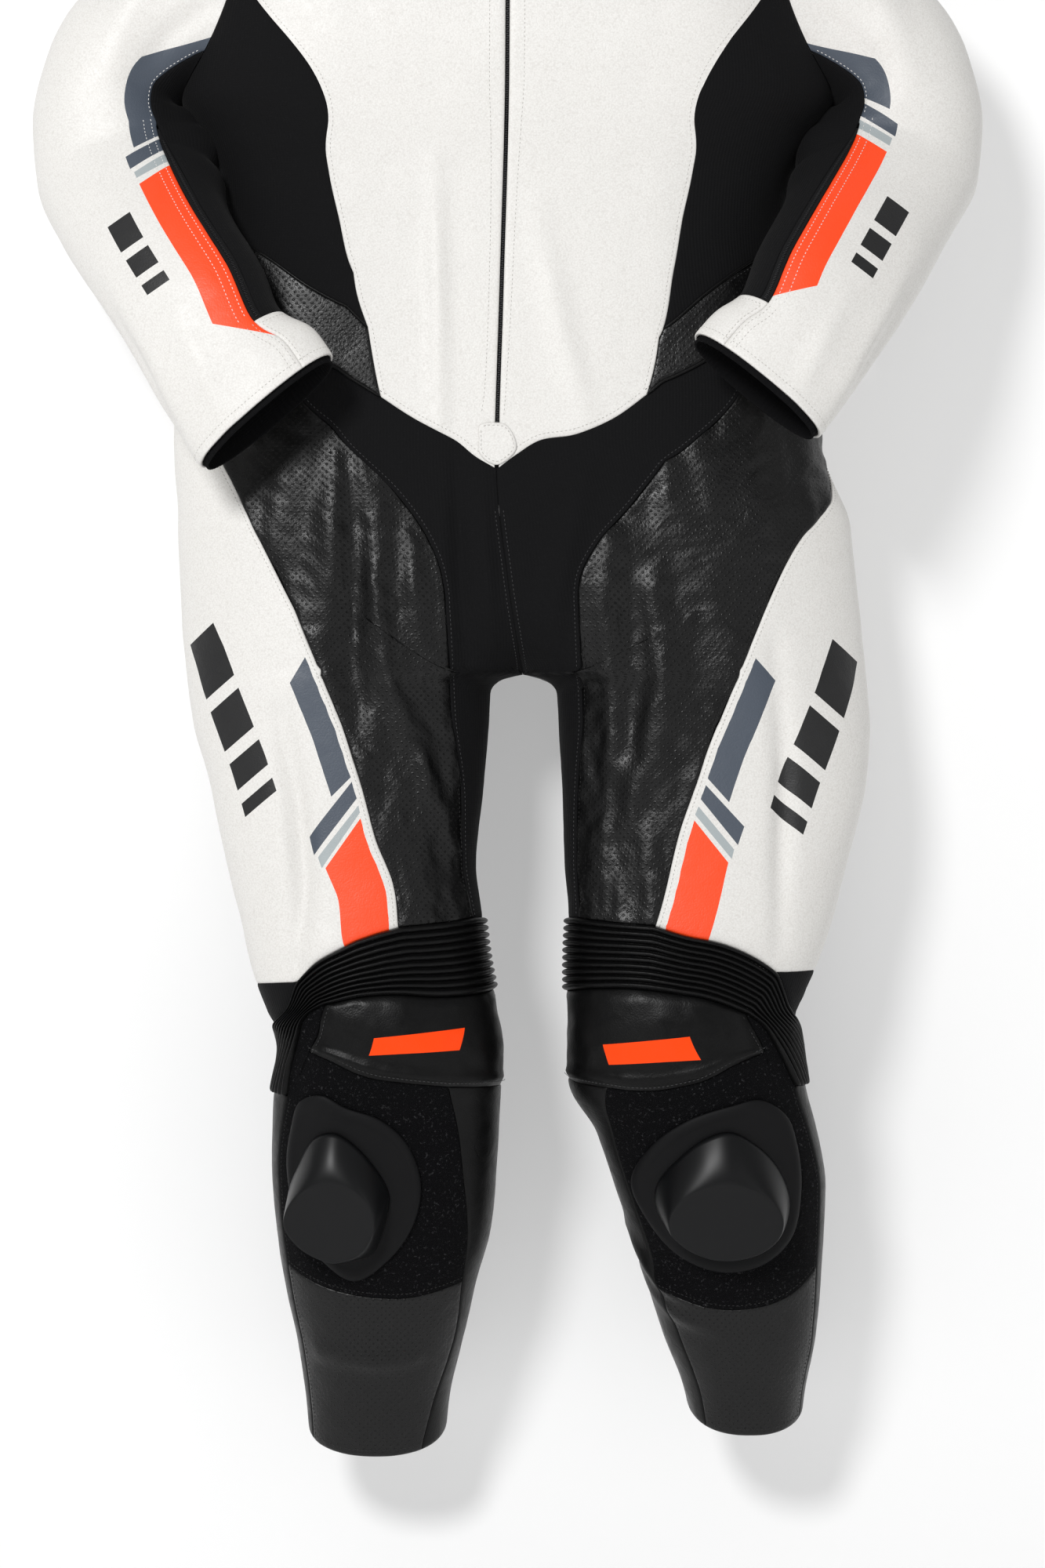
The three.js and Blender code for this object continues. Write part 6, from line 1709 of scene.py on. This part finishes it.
# The knee sliders: a lobed rubber plate and on it a smooth plastic puck with a long
# upper slope. Both are held by hook-and-loop cloth.
SLIDERS = {
    "r": (
        [(-178, -1082), (-160, -1076), (-140, -1086), (-112, -1096), (-90, -1116), (-78, -1150),
         (-84, -1186), (-104, -1216), (-134, -1236), (-160, -1220), (-180, -1190), (-190, -1140),
         (-186, -1106)],
        [(-150, -1107), (-165, -1112), (-179, -1137), (-187, -1161), (-187, -1180), (-175, -1199),
         (-156, -1211), (-135, -1215), (-119, -1211), (-108, -1186), (-104, -1160), (-116, -1136),
         (-136, -1114)],
    ),
    "l": (
        [(184, -1084), (206, -1080), (228, -1094), (238, -1120), (242, -1160), (234, -1200),
         (210, -1222), (176, -1228), (140, -1214), (112, -1180), (101, -1150), (116, -1120),
         (146, -1097)],
        [(181, -1106), (160, -1112), (139, -1129), (124, -1148), (121, -1164), (128, -1182),
         (144, -1199), (162, -1208), (187, -1213), (211, -1206), (226, -1190), (231, -1170),
         (228, -1152), (218, -1133), (202, -1117)],
    ),
}
# Columns: middle, then half width and half height
PUCK_FACE = {"r": ((-149, -1177), (36, 34)), "l": ((178, -1176), (46, 32))}
PUCK_HEIGHT = 25
PUCK_EDGE = 4
PUCK_HOLLOW = 1.2
PLATE_LIFT = 1.4
PUCK_LIFT = 4.8
rubber = finish("slider_rubber", (0.0035, 0.0035, 0.004), 0.6, specular_ior_level=0.15)[0]
puck_plastic = finish("puck_plastic", (0.0035, 0.0037, 0.0042), 0.36, specular_ior_level=0.22)[0]


def plate_height(over, down):
    return 3.0 - 1.8 * down**4 + 0.6 * np.sin(math.pi * down)


def puck_height(over, down):
    """A slightly hollow face with a crisp edge, and a side that rounds down to the plate."""
    return PUCK_HEIGHT - PUCK_HOLLOW * (1 - over**2) - (PUCK_HEIGHT - PUCK_EDGE) * down**1.5


for side in "rl":
    plate_outline, puck_outline = SLIDERS[side]
    plate, _ = laid(f"slider_plate_{side}", f"slider_base_{side}", plate_outline, side,
                    PLATE_LIFT, plate_height, rubber)
    puck, _ = laid(f"puck_{side}", f"knee_slider_{side}", puck_outline, side, PUCK_LIFT,
                   puck_height, puck_plastic, rings=32, face=PUCK_FACE[side])

# The collar: a short stand of black leather that is sewn round the neck and left open
# at the front, with a rolled rim along its upper edge.
COLLAR_HEIGHT = 36
COLLAR_OPENING = 9.5
COLLAR_BULGE = 1.5
COLLAR_LEAN = 3
RIM = 1.5
neck = np.vstack([
    body_place("r", *joined(r["neck_front"], r["neck_back"]).T)[0],
    body_place("l", *joined(l["neck_front"], l["neck_back"]).T)[0][::-1][1:],
])
reach = lengths_along(neck)
wanted = np.linspace(COLLAR_OPENING, reach[-1] - COLLAR_OPENING, 100)
foot = read_at(neck, reach, wanted)
outward = unit((foot - (-4, -8, 0)) * (1, 1, 0))
rise = np.linspace(0, 1, 12)[None, :, None]
top = foot[:, None] + np.array([0, 0, 1.0]) * (0.4 + COLLAR_HEIGHT * rise)
top = top + outward[:, None] * (COLLAR_BULGE * np.sin(math.pi * rise) - COLLAR_LEAN * rise)
spread = np.stack(np.meshgrid(wanted, rise.ravel() * COLLAR_HEIGHT, indexing="ij"), axis=-1)
collar = shell_mesh("stand_collar", top, top - outward[:, None] * LEATHER, {"cloth": spread},
                    black_leather)
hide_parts("collar")
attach(collar, "suit")
rim = tube("collar_piping", top[:, -1] - outward * LEATHER / 2, RIM, black_leather)
